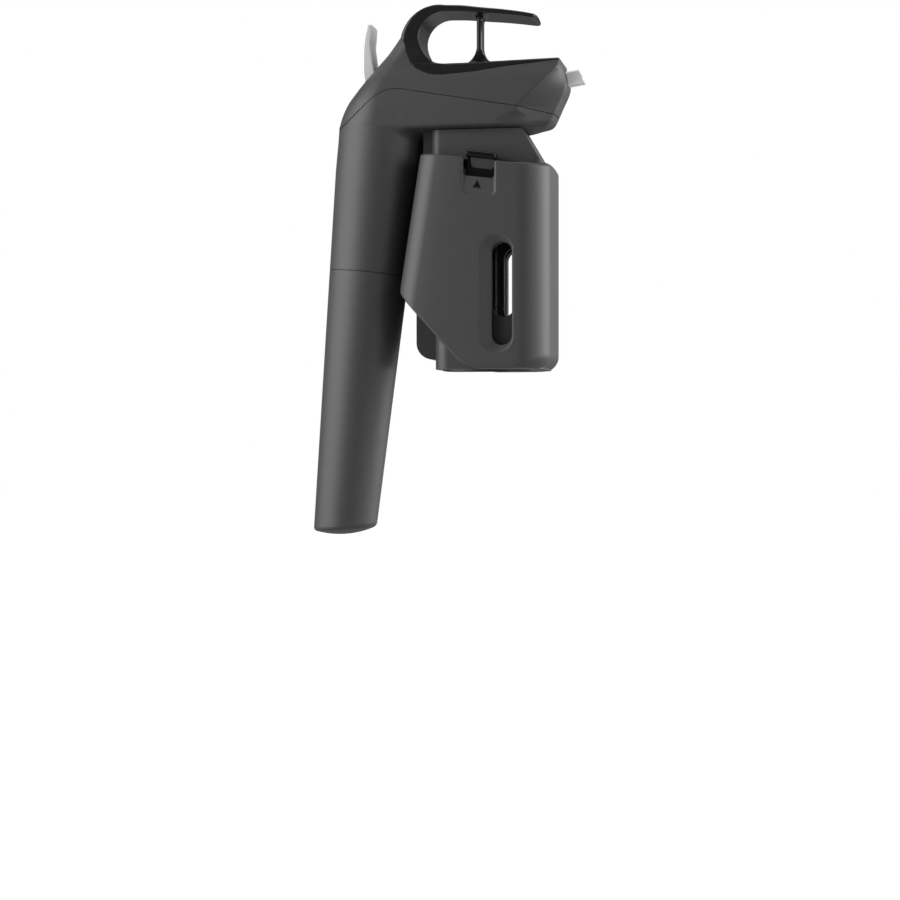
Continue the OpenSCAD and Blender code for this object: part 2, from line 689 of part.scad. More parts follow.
// By angle round the loop: thickness at the edge, and the crown's extra height
edge_at = [[90, 2.4], [114, 3.5], [141, 5], [157, 5.9], [174, 6.7], [200, 7.6], [225, 8], [270, 6]];
crown_at = [[90, 1.4], [135, 1.8], [180, 2.5], [225, 2.2], [270, 0.5]];
// Along the arm: underside height, edge thickness, crown
arm_at = [[-20.4, 139.8, 2.4, 1.4], [-13, 139.5, 2.3, 1.4], [-6, 138.8, 2.1, 1.3], [4.3, 137.8, 1.9, 1.1],
    [12, 136.8, 1.7, 1], [17, 135.9, 1.4, 0.8], [19.4, 135.3, 0.9, 0.6]];
function loop_section(p, out, edge, crown, hw) = let (
        at = function (y, t) [p[0] + out[0]*t, y, p[1] + out[1]*t])
    [at(hw - 0.8, 0), at(hw, 0.7), at(hw, edge*0.75), at(hw - 1.2, edge + crown*0.15),
        at(hw*0.55, edge + crown*0.75), at(0, edge + crown), at(-hw*0.55, edge + crown*0.75),
        at(-hw + 1.2, edge + crown*0.15), at(-hw, edge*0.75),
        at(-hw, 0.7), at(-hw + 0.8, 0)];
module ribbon() {
    ring = [for (a = [250:-8:98]) let (out = [cos(a), sin(a)])
        loop_section(loop_c + loop_r*out, out, lookup(a, edge_at), lookup(a, crown_at), loop_hw)];
    dz = loop_r - 10.8;
    arm = [for (s = arm_at)
        loop_section([s[0], s[1] + dz], [0, 1], s[2], s[3],
            s[0] > 15 ? loop_hw - (s[0] - 15)*0.6 : loop_hw)];
    skin(concat(ring, arm));
}
post_x = -6.6;
post_root_r = 4.4;              // fillet at the post's foot
post_top_r = 1.5;               // and where it meets the arm
module post() {
    z0 = head_top - 0.6;
    z1 = loop_c[1] + loop_r - 0.6;
    root = post_t/2 + post_root_r;
    top = post_t/2 + post_top_r;
    root_z = z0 + post_root_r + 1;
    side_plate(-post_hw, post_hw) polygon(concat(
        [[post_x - root - 0.6, z0]], arc([post_x - root, root_z], post_root_r, -80, 0),
        arc([post_x - top, z1 - post_top_r - 0.4], post_top_r, 0, 90), [[post_x - top, z1 + 1]],
        [[post_x + top, z1 + 0.6]], arc([post_x + top, z1 - post_top_r - 0.8], post_top_r, 90, 180),
        arc([post_x + root, root_z], post_root_r, 180, 260), [[post_x + root + 0.6, z0]]));
}
module handle_loop() {
    color(gloss_black) difference() {
        intersection() {
            union() {
                ribbon();
                post();
                head_stack(0, 110, head_top);
            }
            above(insert_line, 0.02);
        }
        // finger hole, cut clean through the insert's back
        side_plate(-40, 40) intersection() {
            translate(loop_c) circle(r = loop_r);
            translate([-60, head_top - 0.4]) square([60, 60]);
        }
    }
}

// ---- Rail -----------------------------------------------------------------------------

rail_back = -32.6;
rail_step_z = 55;
rail_flange_t = 2.5;
module slide_rail() {
    r = 7;
    color(rail_black) difference() {
        union() {
            side_plate(-rail_hw, rail_hw) polygon(concat(
                arc([rail_back + r, rail_bottom + r], r, 180, 270),
                [[rail_front, rail_bottom], [rail_front, floor_top], [rail_upper_back, floor_top],
                [rail_upper_back, rail_step_z + 3], [rail_back, rail_step_z]]));
            translate([rail_front - eps, -web_hw, rail_bottom])
                cube([tee_back - rail_front + 2*eps, 2*web_hw, head_floor - 0.1 - rail_bottom]);
            translate([tee_back, -tee_hw, rail_bottom])
                cube([tee_t, 2*tee_hw, head_floor - 0.1 - rail_bottom]);
            translate([tee_back, -foot_hw, rail_bottom]) cube([tee_t, 2*foot_hw, foot_h]);
            translate([rail_upper_back, -rail_screw_y - 2.5, floor_top])
                cube([rail_front - rail_upper_back, 2*(rail_screw_y + 2.5), rail_flange_t]);
        }
        both_sides() translate([rail_screw_x, rail_screw_y, 0]) cylinder(r = screw_r + seat, h = far);
    }
}
module screw(z_tip, z_head, head_h) {
    translate([0, 0, min(z_tip, z_head)]) cylinder(r = screw_r - 0.2, h = abs(z_head - z_tip));
    difference() {
        translate([0, 0, z_head > z_tip ? z_head : z_head - head_h]) cylinder(r = screw_head_r, h = head_h);
        translate([0, 0, z_head > z_tip ? z_head + head_h - 0.7 : z_head - head_h - 0.3])
            cylinder(r = 1.1, h = 1, $fn = 6);
    }
}
module rail_screws() {
    color(steel) both_sides() translate([rail_screw_x, rail_screw_y, 0])
        screw(head_floor + 0.5, floor_top + rail_flange_t, 1.5);
}
module shell_screws() {
    color(steel) both_sides() for (x = shell_screw_x) translate([x, shell_screw_y, 0])
        screw(floor_top + 11, head_floor + 1.8, 1.4);
}

// ---- Needle, valve and spout ------------------------------------------------------------

valve_back = -23.2;
valve_front = 8;
valve_top = floor_top + 6.3;
plunger_x = -18.5;
cap_r = 3.4;
cap_t = 1.6;
cap_z = 105;
gas_z = floor_top + 4.4;
wine_z = floor_top + 3.2;
pipe_r = 1.6;
nut_h = 8;
needle_in_valve = 4;
needle_top = floor_top + needle_in_valve;
module valve_body() {
    color(alloy) difference() {
        union() {
            translate([valve_back, -valve_hw, floor_top])
                cube([valve_front - valve_back, 2*valve_hw, valve_top - floor_top]);
            translate([valve_screw_x - 3, -valve_screw_y - 2.6, floor_top])
                cube([6, 2*(valve_screw_y + 2.6), 2.4]);
            translate([0, 0, head_floor]) cylinder(r = collar_r, h = shell_t + 1);
        }
        translate([plunger_x, 0, floor_top + 0.9]) cylinder(d = plunger_d + 2*fit, h = far);
        translate([0, 0, head_floor - 1])
            cylinder(d = needle_d + 2*seat, h = needle_top + seat - head_floor + 1);
        translate([0, 0, head_floor - 1]) cylinder(r = 2 + seat, h = 2.2);
        translate([plunger_x, 0, wine_z]) rotate([0, 90, 0]) cylinder(r = 0.7, h = far);
        translate([valve_back - 1, 0, gas_z]) rotate([0, 90, 0]) cylinder(r = 0.7, h = 6);
        both_sides() translate([valve_screw_x, valve_screw_y, 0]) cylinder(r = screw_r + seat, h = far);
    }
}
module valve_screws() {
    color(steel) both_sides() translate([valve_screw_x, valve_screw_y, 0])
        screw(head_floor + 0.5, floor_top + 2.4, 1.5);
}
module valve_plunger() {
    color(brass) translate([plunger_x, 0, 0]) difference() {
        union() {
            translate([0, 0, floor_top + 5.4]) cylinder(d = plunger_d, h = cap_z - floor_top - 5.4);
            translate([0, 0, cap_z]) cylinder(r = cap_r, h = cap_t);
        }
        translate([0, 0, floor_top + 5.9]) rotate_extrude() translate([plunger_d/2, 0])
            square([0.9, 0.8], center = true);
    }
}
// The O-ring in the plunger's groove, which slides in the valve's mouth
module plunger_seal() {
    color(rubber) translate([plunger_x, 0, floor_top + 5.9]) rotate_extrude()
        translate([plunger_d/2 - 0.22, 0]) circle(0.22, $fn = 24);
}
module valve_spring() {
    color(steel) translate([plunger_x, 0, valve_top + 0.1])
        coil(plunger_d/2 + 0.7, 0.5, cap_z - valve_top - 0.2, 4);
}
module needle() {
    taper_h = 4;
    color(steel) difference() {
        union() {
            translate([0, 0, tip_z + taper_h]) cylinder(d = needle_d, h = needle_top - tip_z - taper_h);
            translate([0, 0, tip_z]) cylinder(d1 = 0.3, d2 = needle_d, h = taper_h + eps);
        }
        translate([0, 0, tip_z + taper_h + 2]) cylinder(d = needle_bore_d, h = far);
        translate([-far/2, 0, tip_z + taper_h + 3]) rotate([0, 90, 0])
            cylinder(d = needle_bore_d*0.7, h = far);
    }
}
module needle_nut() {
    color(steel) translate([0, 0, head_floor - nut_h]) difference() {
        union() {
            cylinder(r = collar_r - 0.4, h = nut_h - 0.1);
            for (k = [0:2]) translate([0, 0, 0.8 + 2.3*k]) cylinder(r = collar_r, h = 1.4);
        }
        translate([0, 0, -1]) cylinder(d = needle_d + 2*seat, h = nut_h + 2);
        translate([0, 0, nut_h - 1]) cylinder(r = 2 + seat, h = 2);
    }
}
module needle_seal() {
    color(rubber) translate([0, 0, head_floor + 0.1]) rotate_extrude() translate([needle_d/2 + 0.62, 0])
        circle(0.55, $fn = 24);
}

spout_x = 19;
spout_z = 109.3;
spout_len = 18.6;
module spout_block(w, h, grow) {
    translate([0, -w/2 - grow, -h/2 - grow]) cube([spout_len, w + 2*grow, h + 2*grow]);
}
module spout_solid(grow = 0) {
    translate([spout_x, 0, spout_z]) rotate([0, -spout_rise, 0]) difference() {
        spout_block(spout_w, spout_h, grow);
        if (grow == 0) translate([spout_len, 0, -spout_h/2]) rotate([0, -14, 0]) translate([0, -10, -1])
            cube([9, 20, 12]);
    }
}
module spout() {
    color(steel) difference() {
        spout_solid();
        translate([spout_x, 0, spout_z]) rotate([0, -spout_rise, 0])
            translate([1.5, 0, 0]) spout_block(spout_w - 2*spout_t, spout_h - 2*spout_t, 0);
        translate([spout_x, 0, spout_z]) rotate([0, 90 - spout_rise, 0]) translate([0, 0, -1])
            cylinder(r = 1, h = 4);
    }
}
// Inner pipes: points chosen by hand along their routes
wine_path = [[valve_front, 0, wine_z], [valve_front + 2, 0, wine_z], [12.5, 0, 96.6], [14.4, 0, 99.4],
    [15.2, 0, 103],
    [15.8, 0, 106.6], [17, 0, 108.6], [spout_x - 0.35, 0, spout_z - 0.05]];
gas_path = [[-50.8, 0, 71.2], [-50.3, 0, 75], [-49, 0, 80], [-46.4, 0, 86], [-42.5, 0, 91.6],
    [-37.6, 0, 95.6],
    [-31.6, 0, gas_z + 0.2], [valve_back - 2, 0, gas_z], [valve_back, 0, gas_z]];
module wine_tube() { color([0.85, 0.85, 0.82]) skin(tube_rings(wine_path, pipe_r, 8)); }
module gas_tube() { color([0.85, 0.85, 0.82]) skin(tube_rings(gas_path, pipe_r, 8)); }

// ---- Trigger ----------------------------------------------------------------------------

// Back and front faces of the trigger's plate, by height
trigger_back = [[trigger_z + 1, -51.5], [110.6, -55.5], [115, -56.2], [119.1, -56.4], [125.9, -56.2],
    [131.9, -55.5], [136, -54.4]];
trigger_front = [[136.2, -53], [135.4, -52.2], [131.4, -52.4], [127.4, -52.7], [123.3, -52.2],
    [117.9, -51.3], [110, -48.6], [trigger_z + 3, -45.6]];
press_r = 2;                    // nose that pushes the plunger
press_z = cap_z + cap_t + slip + press_r;
module trigger() {
    color(satin) difference() {
        union() {
            side_plate(-trigger_w/2, trigger_w/2)
                polygon(concat([for (p = trigger_back) [p[1], p[0]]],
                    [for (p = trigger_front) [p[1], p[0]]]));
            translate([trigger_x, trigger_w/2, trigger_z]) rotate([90, 0, 0])
                cylinder(r = trigger_boss_r - 0.2, h = trigger_w);
            side_plate(-3, 3) {
                polygon([[trigger_x, trigger_z + 2.6], [trigger_x, trigger_z - 2.6],
                    [plunger_x, press_z - 1.2], [plunger_x, press_z + 1.6]]);
                translate([plunger_x, press_z]) circle(press_r);
            }
        }
        translate([trigger_x, 20, trigger_z]) rotate([90, 0, 0])
            cylinder(d = trigger_pin_d + 2*fit, h = 40);
    }
}
module trigger_pin() {
    color(steel) translate([trigger_x, trigger_w/2 + 7.6, trigger_z]) rotate([90, 0, 0])
        cylinder(d = trigger_pin_d, h = trigger_w + 15.2);
}

// ---- Regulator, in the tube's own frame --------------------------------------------------

reg_top = 34;
nose_s = -22.4;
piston_r = 6.5;
piston_s = 17;
piston_t = 5;
piston_travel = 0.8;
pierce_r = 1;
spring_s = piston_s + piston_t;
reg_cap_t = 6;
module regulator_body() {
    color(alloy) along_tube() difference() {
        union() {
            translate([0, 0, 1.8]) cylinder(r = flange_r, h = ledge_s - 1.9);
            translate([0, 0, -9.6]) cylinder(r = spigot_r, h = 12);
            translate([0, 0, nose_s]) cylinder(r = 6, h = -nose_s);
            cylinder(r = reg_r, h = reg_top);
        }
        // the thread, shown as plain grooves
        for (k = [0:2]) translate([0, 0, -8 + k*thread_pitch]) difference() {
            cylinder(r = flange_r, h = 1);
            translate([0, 0, -1]) cylinder(r = spigot_r - 0.5, h = 3);
        }
        translate([0, 0, piston_s]) cylinder(r = piston_r + fit, h = far);
        translate([0, 0, nose_s - 1]) cylinder(r = pierce_r + fit, h = far);
        translate([0, 0, nose_s - 1]) cylinder(r = 3.2 + seat, h = 2.6);
    }
}
module regulator_cap() {
    color(brass) along_tube() difference() {
        union() {
            translate([0, 0, reg_top + 0.05]) cylinder(r = reg_r, h = reg_cap_t, $fn = 6);
            translate([0, 0, reg_top - 2]) cylinder(r = piston_r - seat, h = 3);
        }
        cylinder(r = 0.7, h = far);
    }
}
module regulator_piston() {
    color(brass) along_tube() translate([0, 0, piston_s + seat]) difference() {
        cylinder(r = piston_r, h = piston_t - seat);
        translate([0, 0, 2]) rotate_extrude() translate([piston_r, 0]) square([1.6, 1.3], center = true);
        translate([0, 0, -1]) cylinder(r = 0.6, h = 9);
    }
}
module piston_seal() {
    color(rubber) along_tube() translate([0, 0, piston_s + seat + 2]) rotate_extrude()
        translate([piston_r - 0.39, 0]) circle(0.38, $fn = 24);
}
module regulator_spring() {
    color(steel) along_tube() translate([0, 0, spring_s + 0.1])
        coil(4.6, 1, reg_top - 2 - spring_s - piston_travel - 0.2, 5);
}
module piercing_pin() {
    color(steel) along_tube() difference() {
        union() {
            translate([0, 0, nose_s - 2.4]) cylinder(r = pierce_r, h = 8);
            translate([0, 0, nose_s - 4.4]) cylinder(r1 = 0.2, r2 = pierce_r, h = 2 + eps);
        }
        translate([0, 0, nose_s - 2]) cylinder(r = 0.4, h = 10);
    }
}
module pierce_seal() {
    color(rubber) along_tube() translate([0, 0, nose_s - 0.2]) difference() {
        cylinder(r = 3.2, h = 1.7);
        translate([0, 0, -1]) cylinder(r = pierce_r + seat, h = 4);
    }
}

// ---- Capsule and cup, in the tube's own frame -----------------------------------------------

capsule_top = nose_s - 0.3;     // mouth of the capsule's neck
capsule_neck_r = 3.6;
module gas_capsule() {
    r = capsule_d/2;
    bottom = capsule_top - capsule_len;
    outer = concat([[0, bottom]], arc([0, bottom + r], r, -85, 0, 10),
        arc([r - 7, capsule_top - 17], 7, 0, 62, 6),
        [[capsule_neck_r, capsule_top - 7], [capsule_neck_r, capsule_top], [pierce_r + seat, capsule_top]]);
    inner = [[pierce_r + seat, capsule_top - 8], [r - 1.4, capsule_top - 18], [r - 1.4, bottom + r],
        [0, bottom + 2.2]];
    color(satin) along_tube() rotate_extrude() polygon(concat(outer, inner));
}
ring_r = seam_r - cup_t - seat; // outside of the thread ring in the cup's mouth
ring_h = 9.4;
cup_bottom = [-65.4, 0, -79.8];
cup_cut = 3.1;                  // angle at which the bottom rises to the front
module cup_form(d) {
    low = cup_len + 6;
    difference() {
        along_tube() translate([0, 0, -low])
            cylinder(r1 = seam_r - taper*low - d, r2 = seam_r - d, h = low + (d == 0 ? -0.1 : 0.1),
                $fn = 96);
        translate(cup_bottom) rotate([0, -cup_cut, 0]) difference() {
            translate([-30, -30, -30]) cube([60, 60, 30 + cup_dome_r/2]);
            translate([0, 0, cup_dome_r]) sphere(r = cup_dome_r - d, $fn = 96);
        }
    }
}
module capsule_cup() {
    rib_in = capsule_d/2 + 0.15;
    foot_top = capsule_top - capsule_len + 2;
    color(body_grey) difference() {
        cup_form(0);
        // the hollow, less the ribs that hold the capsule upright and the foot under it
        difference() {
            cup_form(cup_t);
            along_tube() translate([0, 0, -cup_len]) {
                for (k = [0:5]) rotate([0, 0, 60*k]) translate([rib_in, -0.7, 0])
                    cube([9, 1.4, cup_len - ring_h - 3]);
                translate([0, 0, -6]) cylinder(r = 5, h = cup_len + 6 + foot_top);
            }
        }
        along_tube() translate([0, 0, capsule_top - capsule_len + capsule_d/2])
            sphere(r = rib_in, $fn = 96);
    }
}
module cup_thread_ring() {
    color(alloy) along_tube() translate([0, 0, -ring_h - 0.3]) difference() {
        cylinder(r1 = ring_r - taper*ring_h - 0.01, r2 = ring_r - 0.01, h = ring_h, $fn = 96);
        translate([0, 0, -1]) cylinder(r = spigot_r + fit, h = ring_h + 2);
    }
}

base_frame();
side_cover_right();
side_cover_left();
needle_guide();
lip_gasket();
rail_glides();
clamp_pins();
clamp_arm_right();
clamp_arm_left();
clamp_pad_right();
clamp_pad_left();
clamp_spring_right();
clamp_spring_left();
latch_right();
latch_left();
latch_spring_right();
latch_spring_left();
lower_shell();
top_cover();
handle_loop();
slide_rail();
rail_screws();
shell_screws();
spout();
wine_tube();
gas_tube();
valve_body();
valve_screws();
valve_spring();
valve_plunger();
plunger_seal();
needle();
needle_nut();
needle_seal();
trigger();
trigger_pin();
regulator_body();
regulator_cap();
regulator_piston();
regulator_spring();
piston_seal();
piercing_pin();
pierce_seal();
gas_capsule();
capsule_cup();
cup_thread_ring();
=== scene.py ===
import math
import bpy
import numpy as np
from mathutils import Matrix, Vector


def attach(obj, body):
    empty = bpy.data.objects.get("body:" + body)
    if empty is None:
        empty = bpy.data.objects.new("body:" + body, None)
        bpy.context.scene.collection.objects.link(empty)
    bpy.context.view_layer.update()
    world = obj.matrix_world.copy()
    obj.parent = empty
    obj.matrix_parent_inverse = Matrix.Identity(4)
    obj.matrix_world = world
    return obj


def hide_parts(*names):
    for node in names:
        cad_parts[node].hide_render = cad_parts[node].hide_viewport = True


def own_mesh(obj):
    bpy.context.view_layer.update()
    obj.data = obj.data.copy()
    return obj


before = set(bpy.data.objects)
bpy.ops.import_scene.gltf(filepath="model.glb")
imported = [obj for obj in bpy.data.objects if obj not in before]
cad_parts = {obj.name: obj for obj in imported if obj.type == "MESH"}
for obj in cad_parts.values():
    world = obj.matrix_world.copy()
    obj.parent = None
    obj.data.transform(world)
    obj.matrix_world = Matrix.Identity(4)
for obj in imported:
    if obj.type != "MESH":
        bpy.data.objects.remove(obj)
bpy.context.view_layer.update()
MM = 0.001

# ---- Camera, floor and light -------------------------------------------------------
# The photograph is a level side view, turned 10 degrees round from the right side, with
# the eye a little below the clamp. The set is a pale floor under soft studio light.
camera_data = bpy.data.cameras.new("camera")
camera_data.sensor_width = 36
camera_data.lens = 88.2
camera_data.clip_start = 0.05
camera_object = bpy.data.objects.new("camera", camera_data)
bpy.context.collection.objects.link(camera_object)
camera_object.location = (0.14240, -0.91923, -0.044)
camera_object.rotation_euler = (math.pi/2, 0, math.radians(10))
bpy.context.scene.camera = camera_object


def by_ray(tree, socket, seen, unseen):
    """Feeds a socket with one value for rays from the camera and another for all others."""
    path = tree.nodes.new("ShaderNodeLightPath")
    value = tree.nodes.new("ShaderNodeMapRange")
    value.inputs["To Min"].default_value = unseen
    value.inputs["To Max"].default_value = seen
    tree.links.new(path.outputs["Is Camera Ray"], value.inputs["Value"])
    tree.links.new(value.outputs["Result"], socket)


# The floor glows to the eye only, so that it lights the object no more than paper does
FLOOR_Z, FLOOR_HALF = -0.242, 6.0
floor_mesh = bpy.data.meshes.new("floor")
floor_mesh.from_pydata([(FLOOR_HALF*x, FLOOR_HALF*y, FLOOR_Z)
                        for x, y in ((-1, -1), (1, -1), (1, 1), (-1, 1))], [], [(0, 1, 2, 3)])
floor = bpy.data.objects.new("floor", floor_mesh)
bpy.context.collection.objects.link(floor)
floor_paint = bpy.data.materials.new("floor")
floor_paint.use_nodes = True
floor_shader = floor_paint.node_tree.nodes["Principled BSDF"]
floor_shader.inputs["Base Color"].default_value = (0.35, 0.35, 0.36, 1)
floor_shader.inputs["Roughness"].default_value = 0.9
floor_shader.inputs["Emission Color"].default_value = (1, 1, 1, 1)
by_ray(floor_paint.node_tree, floor_shader.inputs["Emission Strength"], 0.95, 0.0)
floor_mesh.materials.append(floor_paint)


def soft_light(name, place, aim, width, height, power):
    """An area lamp at place that looks at aim."""
    lamp = bpy.data.lights.new(name, "AREA")
    lamp.shape = "RECTANGLE"
    lamp.size = width
    lamp.size_y = height
    lamp.energy = power
    holder = bpy.data.objects.new(name, lamp)
    bpy.context.collection.objects.link(holder)
    holder.location = place
    holder.rotation_euler = (Vector(aim) - Vector(place)).to_track_quat("-Z", "Y").to_euler()


soft_light("left", (-1.75, -0.55, 0.35), (-0.02, 0, 0.03), 1.7, 2.2, 40)
soft_light("near", (-0.33, -0.30, 0.06), (-0.03, 0, 0.03), 0.25, 0.6, 1.2)
soft_light("front right", (1.20, -0.85, 0.30), (0.0, 0, 0.05), 0.6, 1.5, 5)
soft_light("right", (1.70, 0.20, 0.35), (0.0, 0, 0.05), 1.6, 2.0, 30)
soft_light("behind", (1.45, 1.00, 0.50), (0.0, 0, 0.05), 1.4, 1.6, 22)
soft_light("top", (-0.1, 0.3, 1.8), (0.0, 0, 0.03), 1.4, 1.4, 14)

# The backdrop shows white, and lights the object only faintly, as a far wall does
world = bpy.data.worlds.new("studio")
bpy.context.scene.world = world
world.use_nodes = True
backdrop = world.node_tree.nodes["Background"]
backdrop.inputs["Color"].default_value = (1, 1, 1, 1)
by_ray(world.node_tree, backdrop.inputs["Strength"], 1.0, 0.16)
bpy.context.scene.view_settings.view_transform = "Standard"

# ---- Head, lower shell --------------------------------------------------------------
# A matte moulded shell that holds the regulator in its leaning handle tube and the valve
# over its floor. Its outside is the zero surface of one field: a cone blended into the head.
# A lip inside the tube's end backs the gap at the joint.
LEAN = math.radians(5.52)
SEAM_Z, TUBE_X = 31.0, -54.65       # the joint of tube and cup, on the tube's axis
SEAM_R, TAPER = 16.84, 0.0326       # radius there, and its growth per mm upwards
JOINT_GAP = 0.2                     # half the gap between tube and cup
HEAD_FLOOR, HEAD_HW = 90.0, 18.2
SHELL_WALL = 1.6
# The head's back and front edges by height, what its half width loses by height, and the
# parting line by length
back_line = np.array([[80, -67.6], [90, -67.35], [92.7, -67.1], [96.1, -66.2], [99.4, -64.9],
    [102.8, -63.0], [106.1, -60.5], [109.5, -57.8], [119.5, -49.2], [122.8, -46.2], [126.1, -43.7],
    [131, -40.4], [140, -36]])
front_line = np.array([[80, 19], [89, 22.8], [93.7, 25.1], [97.8, 27.0], [100.3, 28.1],
    [105.3, 30.4], [107.8, 31.1], [109.5, 31.0], [115, 29.7], [118.5, 28.5], [131, 25]])
width_line = np.array([[80, 0], [95, 0], [104, -0.2], [110, -1.6], [118.5, -5.2], [124, -6.2],
    [131, -7.4]])
seam_line = np.array([[-80, 87.4], [-75, 88.6], [-66, 91.4], [-60.9, 94.2], [-55, 98.6],
    [-50.5, 102.4], [-46.1, 105.3], [-41.8, 106.7], [-37.4, 106.6], [-30, 105.3], [40, 93.3]])


def soft(line, at):
    """The line's second column at the given values of its first: a cubic through its points,
    whose slope at each is the mean of the slopes on both sides."""
    k, v = line[:, 0], line[:, 1]
    steps = np.diff(v)/np.diff(k)
    slope = np.concatenate([steps[:1], (steps[1:] + steps[:-1])/2, steps[-1:]])
    i = np.clip(np.searchsorted(k, at) - 1, 0, len(k) - 2)
    w = k[i + 1] - k[i]
    t = np.clip((at - k[i])/w, 0, 1)
    return ((1 + 2*t)*(1 - t)**2*v[i] + t*(1 - t)**2*w*slope[i]
            + t*t*(3 - 2*t)*v[i + 1] + t*t*(t - 1)*w*slope[i + 1])


def meet(a, b, r):
    """Where both fields are negative, with the edge between them rounded by r:
    min(max(a, b), -r) + the length of (a + r, b + r) where those are positive."""
    return np.minimum(np.maximum(a, b), -r) + np.hypot(np.maximum(a + r, 0), np.maximum(b + r, 0))


def join(a, b, r):
    """Where either field is negative, with a hollow fillet of radius r between them."""
    return -meet(-a, -b, r)


def tube_frame(x, y, z):
    """Distance from the leaning axis, and height along it above the joint."""
    across = (x - TUBE_X)*math.cos(LEAN) - (z - SEAM_Z)*math.sin(LEAN)
    along = (x - TUBE_X)*math.sin(LEAN) + (z - SEAM_Z)*math.cos(LEAN)
    return np.hypot(across, y), along


def ramp(t):
    """0 below 0, 1 above 1, and 3t^2 - 2t^3 between."""
    t = np.clip(t, 0, 1)
    return t*t*(3 - 2*t)


def tube_field(x, y, z):
    """A cone round the leaning axis: r - (seam radius + taper s), eased in under the head."""
    r, s = tube_frame(x, y, z)
    return r - (SEAM_R + TAPER*s - 0.4*ramp((s - 40)/18))


def head_field(x, y, z):
    """The head without its tube: a long block with a half-elliptic back, two slanted facets
    at its nose, sides that draw in upwards, and rounded lower edges."""
    half = HEAD_HW + soft(width_line, z) + 0.4*ramp((104 - z)/8)*np.exp(-((x + 50)/9)**2)
    back, front = soft(back_line, z), soft(front_line, z)
    reach = np.interp(z, [90, 99, 106, 112, 119, 131], [18.6, 17.6, 14, 11.5, 9.5, 7.5])
    nose = np.interp(z, [90, 98.3, 114, 118.5], [9, 11.4, 27, 29.5])
    side = np.abs(y)
    centre = back + reach
    wall = np.where(x < centre, (np.hypot((x - centre)/reach, y/half) - 1)*half, side - half)
    run, rise = np.maximum(front - 1 - nose, 0.3), half - 8.0
    facet = ((x - nose)*rise + (side - half)*run)/np.hypot(run, rise)
    block = meet(wall, facet, 0.4 + 4*ramp((97.5 - z)/4))
    block = meet(block, (x - front)*0.86, 0.9)
    return meet(block, HEAD_FLOOR + 0.9*ramp((x - 13)/9) - z, 2.6)


def shell_field(x, y, z):
    """Head and handle tube as one. The fillet under the floor fades out towards the back,
    where the two surfaces run into each other."""
    fillet = 0.02 + 4.6*ramp((x + 44)/10)
    return join(head_field(x, y, z), np.maximum(tube_field(x, y, z), z - 93), fillet)


def slope_of(field, p):
    """Gradient of a field at points, from differences over 0.02 mm each way."""
    e = 0.02
    return np.stack([(field(*(p + d).T) - field(*(p - d).T))/(2*e) for d in np.eye(3)*e], axis=1)


def surface_net(field, low, high, step):
    """The zero surface of a field: one point in each cube of the grid that the surface
    crosses, at the mean of the crossings on the cube's edges, then moved by -f g/|g|^2
    until it lies on the surface. Four cubes round a crossed grid edge make a face."""
    axes = [np.arange(a, b + step, step) for a, b in zip(low, high)]
    f = field(*np.meshgrid(*axes, indexing="ij"))
    inside = f < 0
    count = np.zeros(tuple(n - 1 for n in f.shape), np.int8)
    corners = [(i, j, k) for i in (0, 1) for j in (0, 1) for k in (0, 1)]
    for i, j, k in corners:
        count += inside[i:i + count.shape[0], j:j + count.shape[1], k:k + count.shape[2]]
    cubes = np.argwhere((count > 0) & (count < 8))
    total, hits = np.zeros((len(cubes), 3)), np.zeros(len(cubes))
    for start in corners:
        for axis in range(3):
            if start[axis]:
                continue
            end = np.array(start)
            end[axis] = 1
            fa, fb = f[tuple((cubes + start).T)], f[tuple((cubes + end).T)]
            crossed = (fa < 0) != (fb < 0)
            t = np.where(crossed, fa/np.where(crossed, fa - fb, 1), 0)
            place = cubes + np.array(start) + t[:, None]*(end - np.array(start))
            total += place*crossed[:, None]
            hits += crossed
    points = np.array([a[0] for a in axes]) + step*total/hits[:, None]
    number = np.full(count.shape, -1)
    number[tuple(cubes.T)] = np.arange(len(cubes))
    faces = []
    for axis in range(3):
        lower = np.take(inside, range(f.shape[axis] - 1), axis)
        upper = np.take(inside, range(1, f.shape[axis]), axis)
        edges = np.argwhere(lower != upper)
        b, c = (axis + 1) % 3, (axis + 2) % 3
        fits = (edges[:, b] > 0) & (edges[:, c] > 0)
        fits &= (edges[:, b] < count.shape[b]) & (edges[:, c] < count.shape[c])
        edges = edges[fits]
        ring = []
        for db, dc in ((1, 1), (0, 1), (0, 0), (1, 0)):
            cube = edges.copy()
            cube[:, b] -= db
            cube[:, c] -= dc
            ring.append(number[tuple(cube.T)])
        ring = np.stack(ring, axis=1)
        outward = lower[tuple(edges.T)]
        faces.append(np.where(outward[:, None], ring, ring[:, ::-1]))
    quads = np.concatenate(faces)
    for _ in range(5):
        g = slope_of(field, points)
        move = field(*points.T)/np.maximum((g*g).sum(axis=1), 0.05)
        points = points - np.clip(move, -step, step)[:, None]*g
    return points, np.concatenate([quads[:, [0, 1, 2]], quads[:, [0, 2, 3]]])


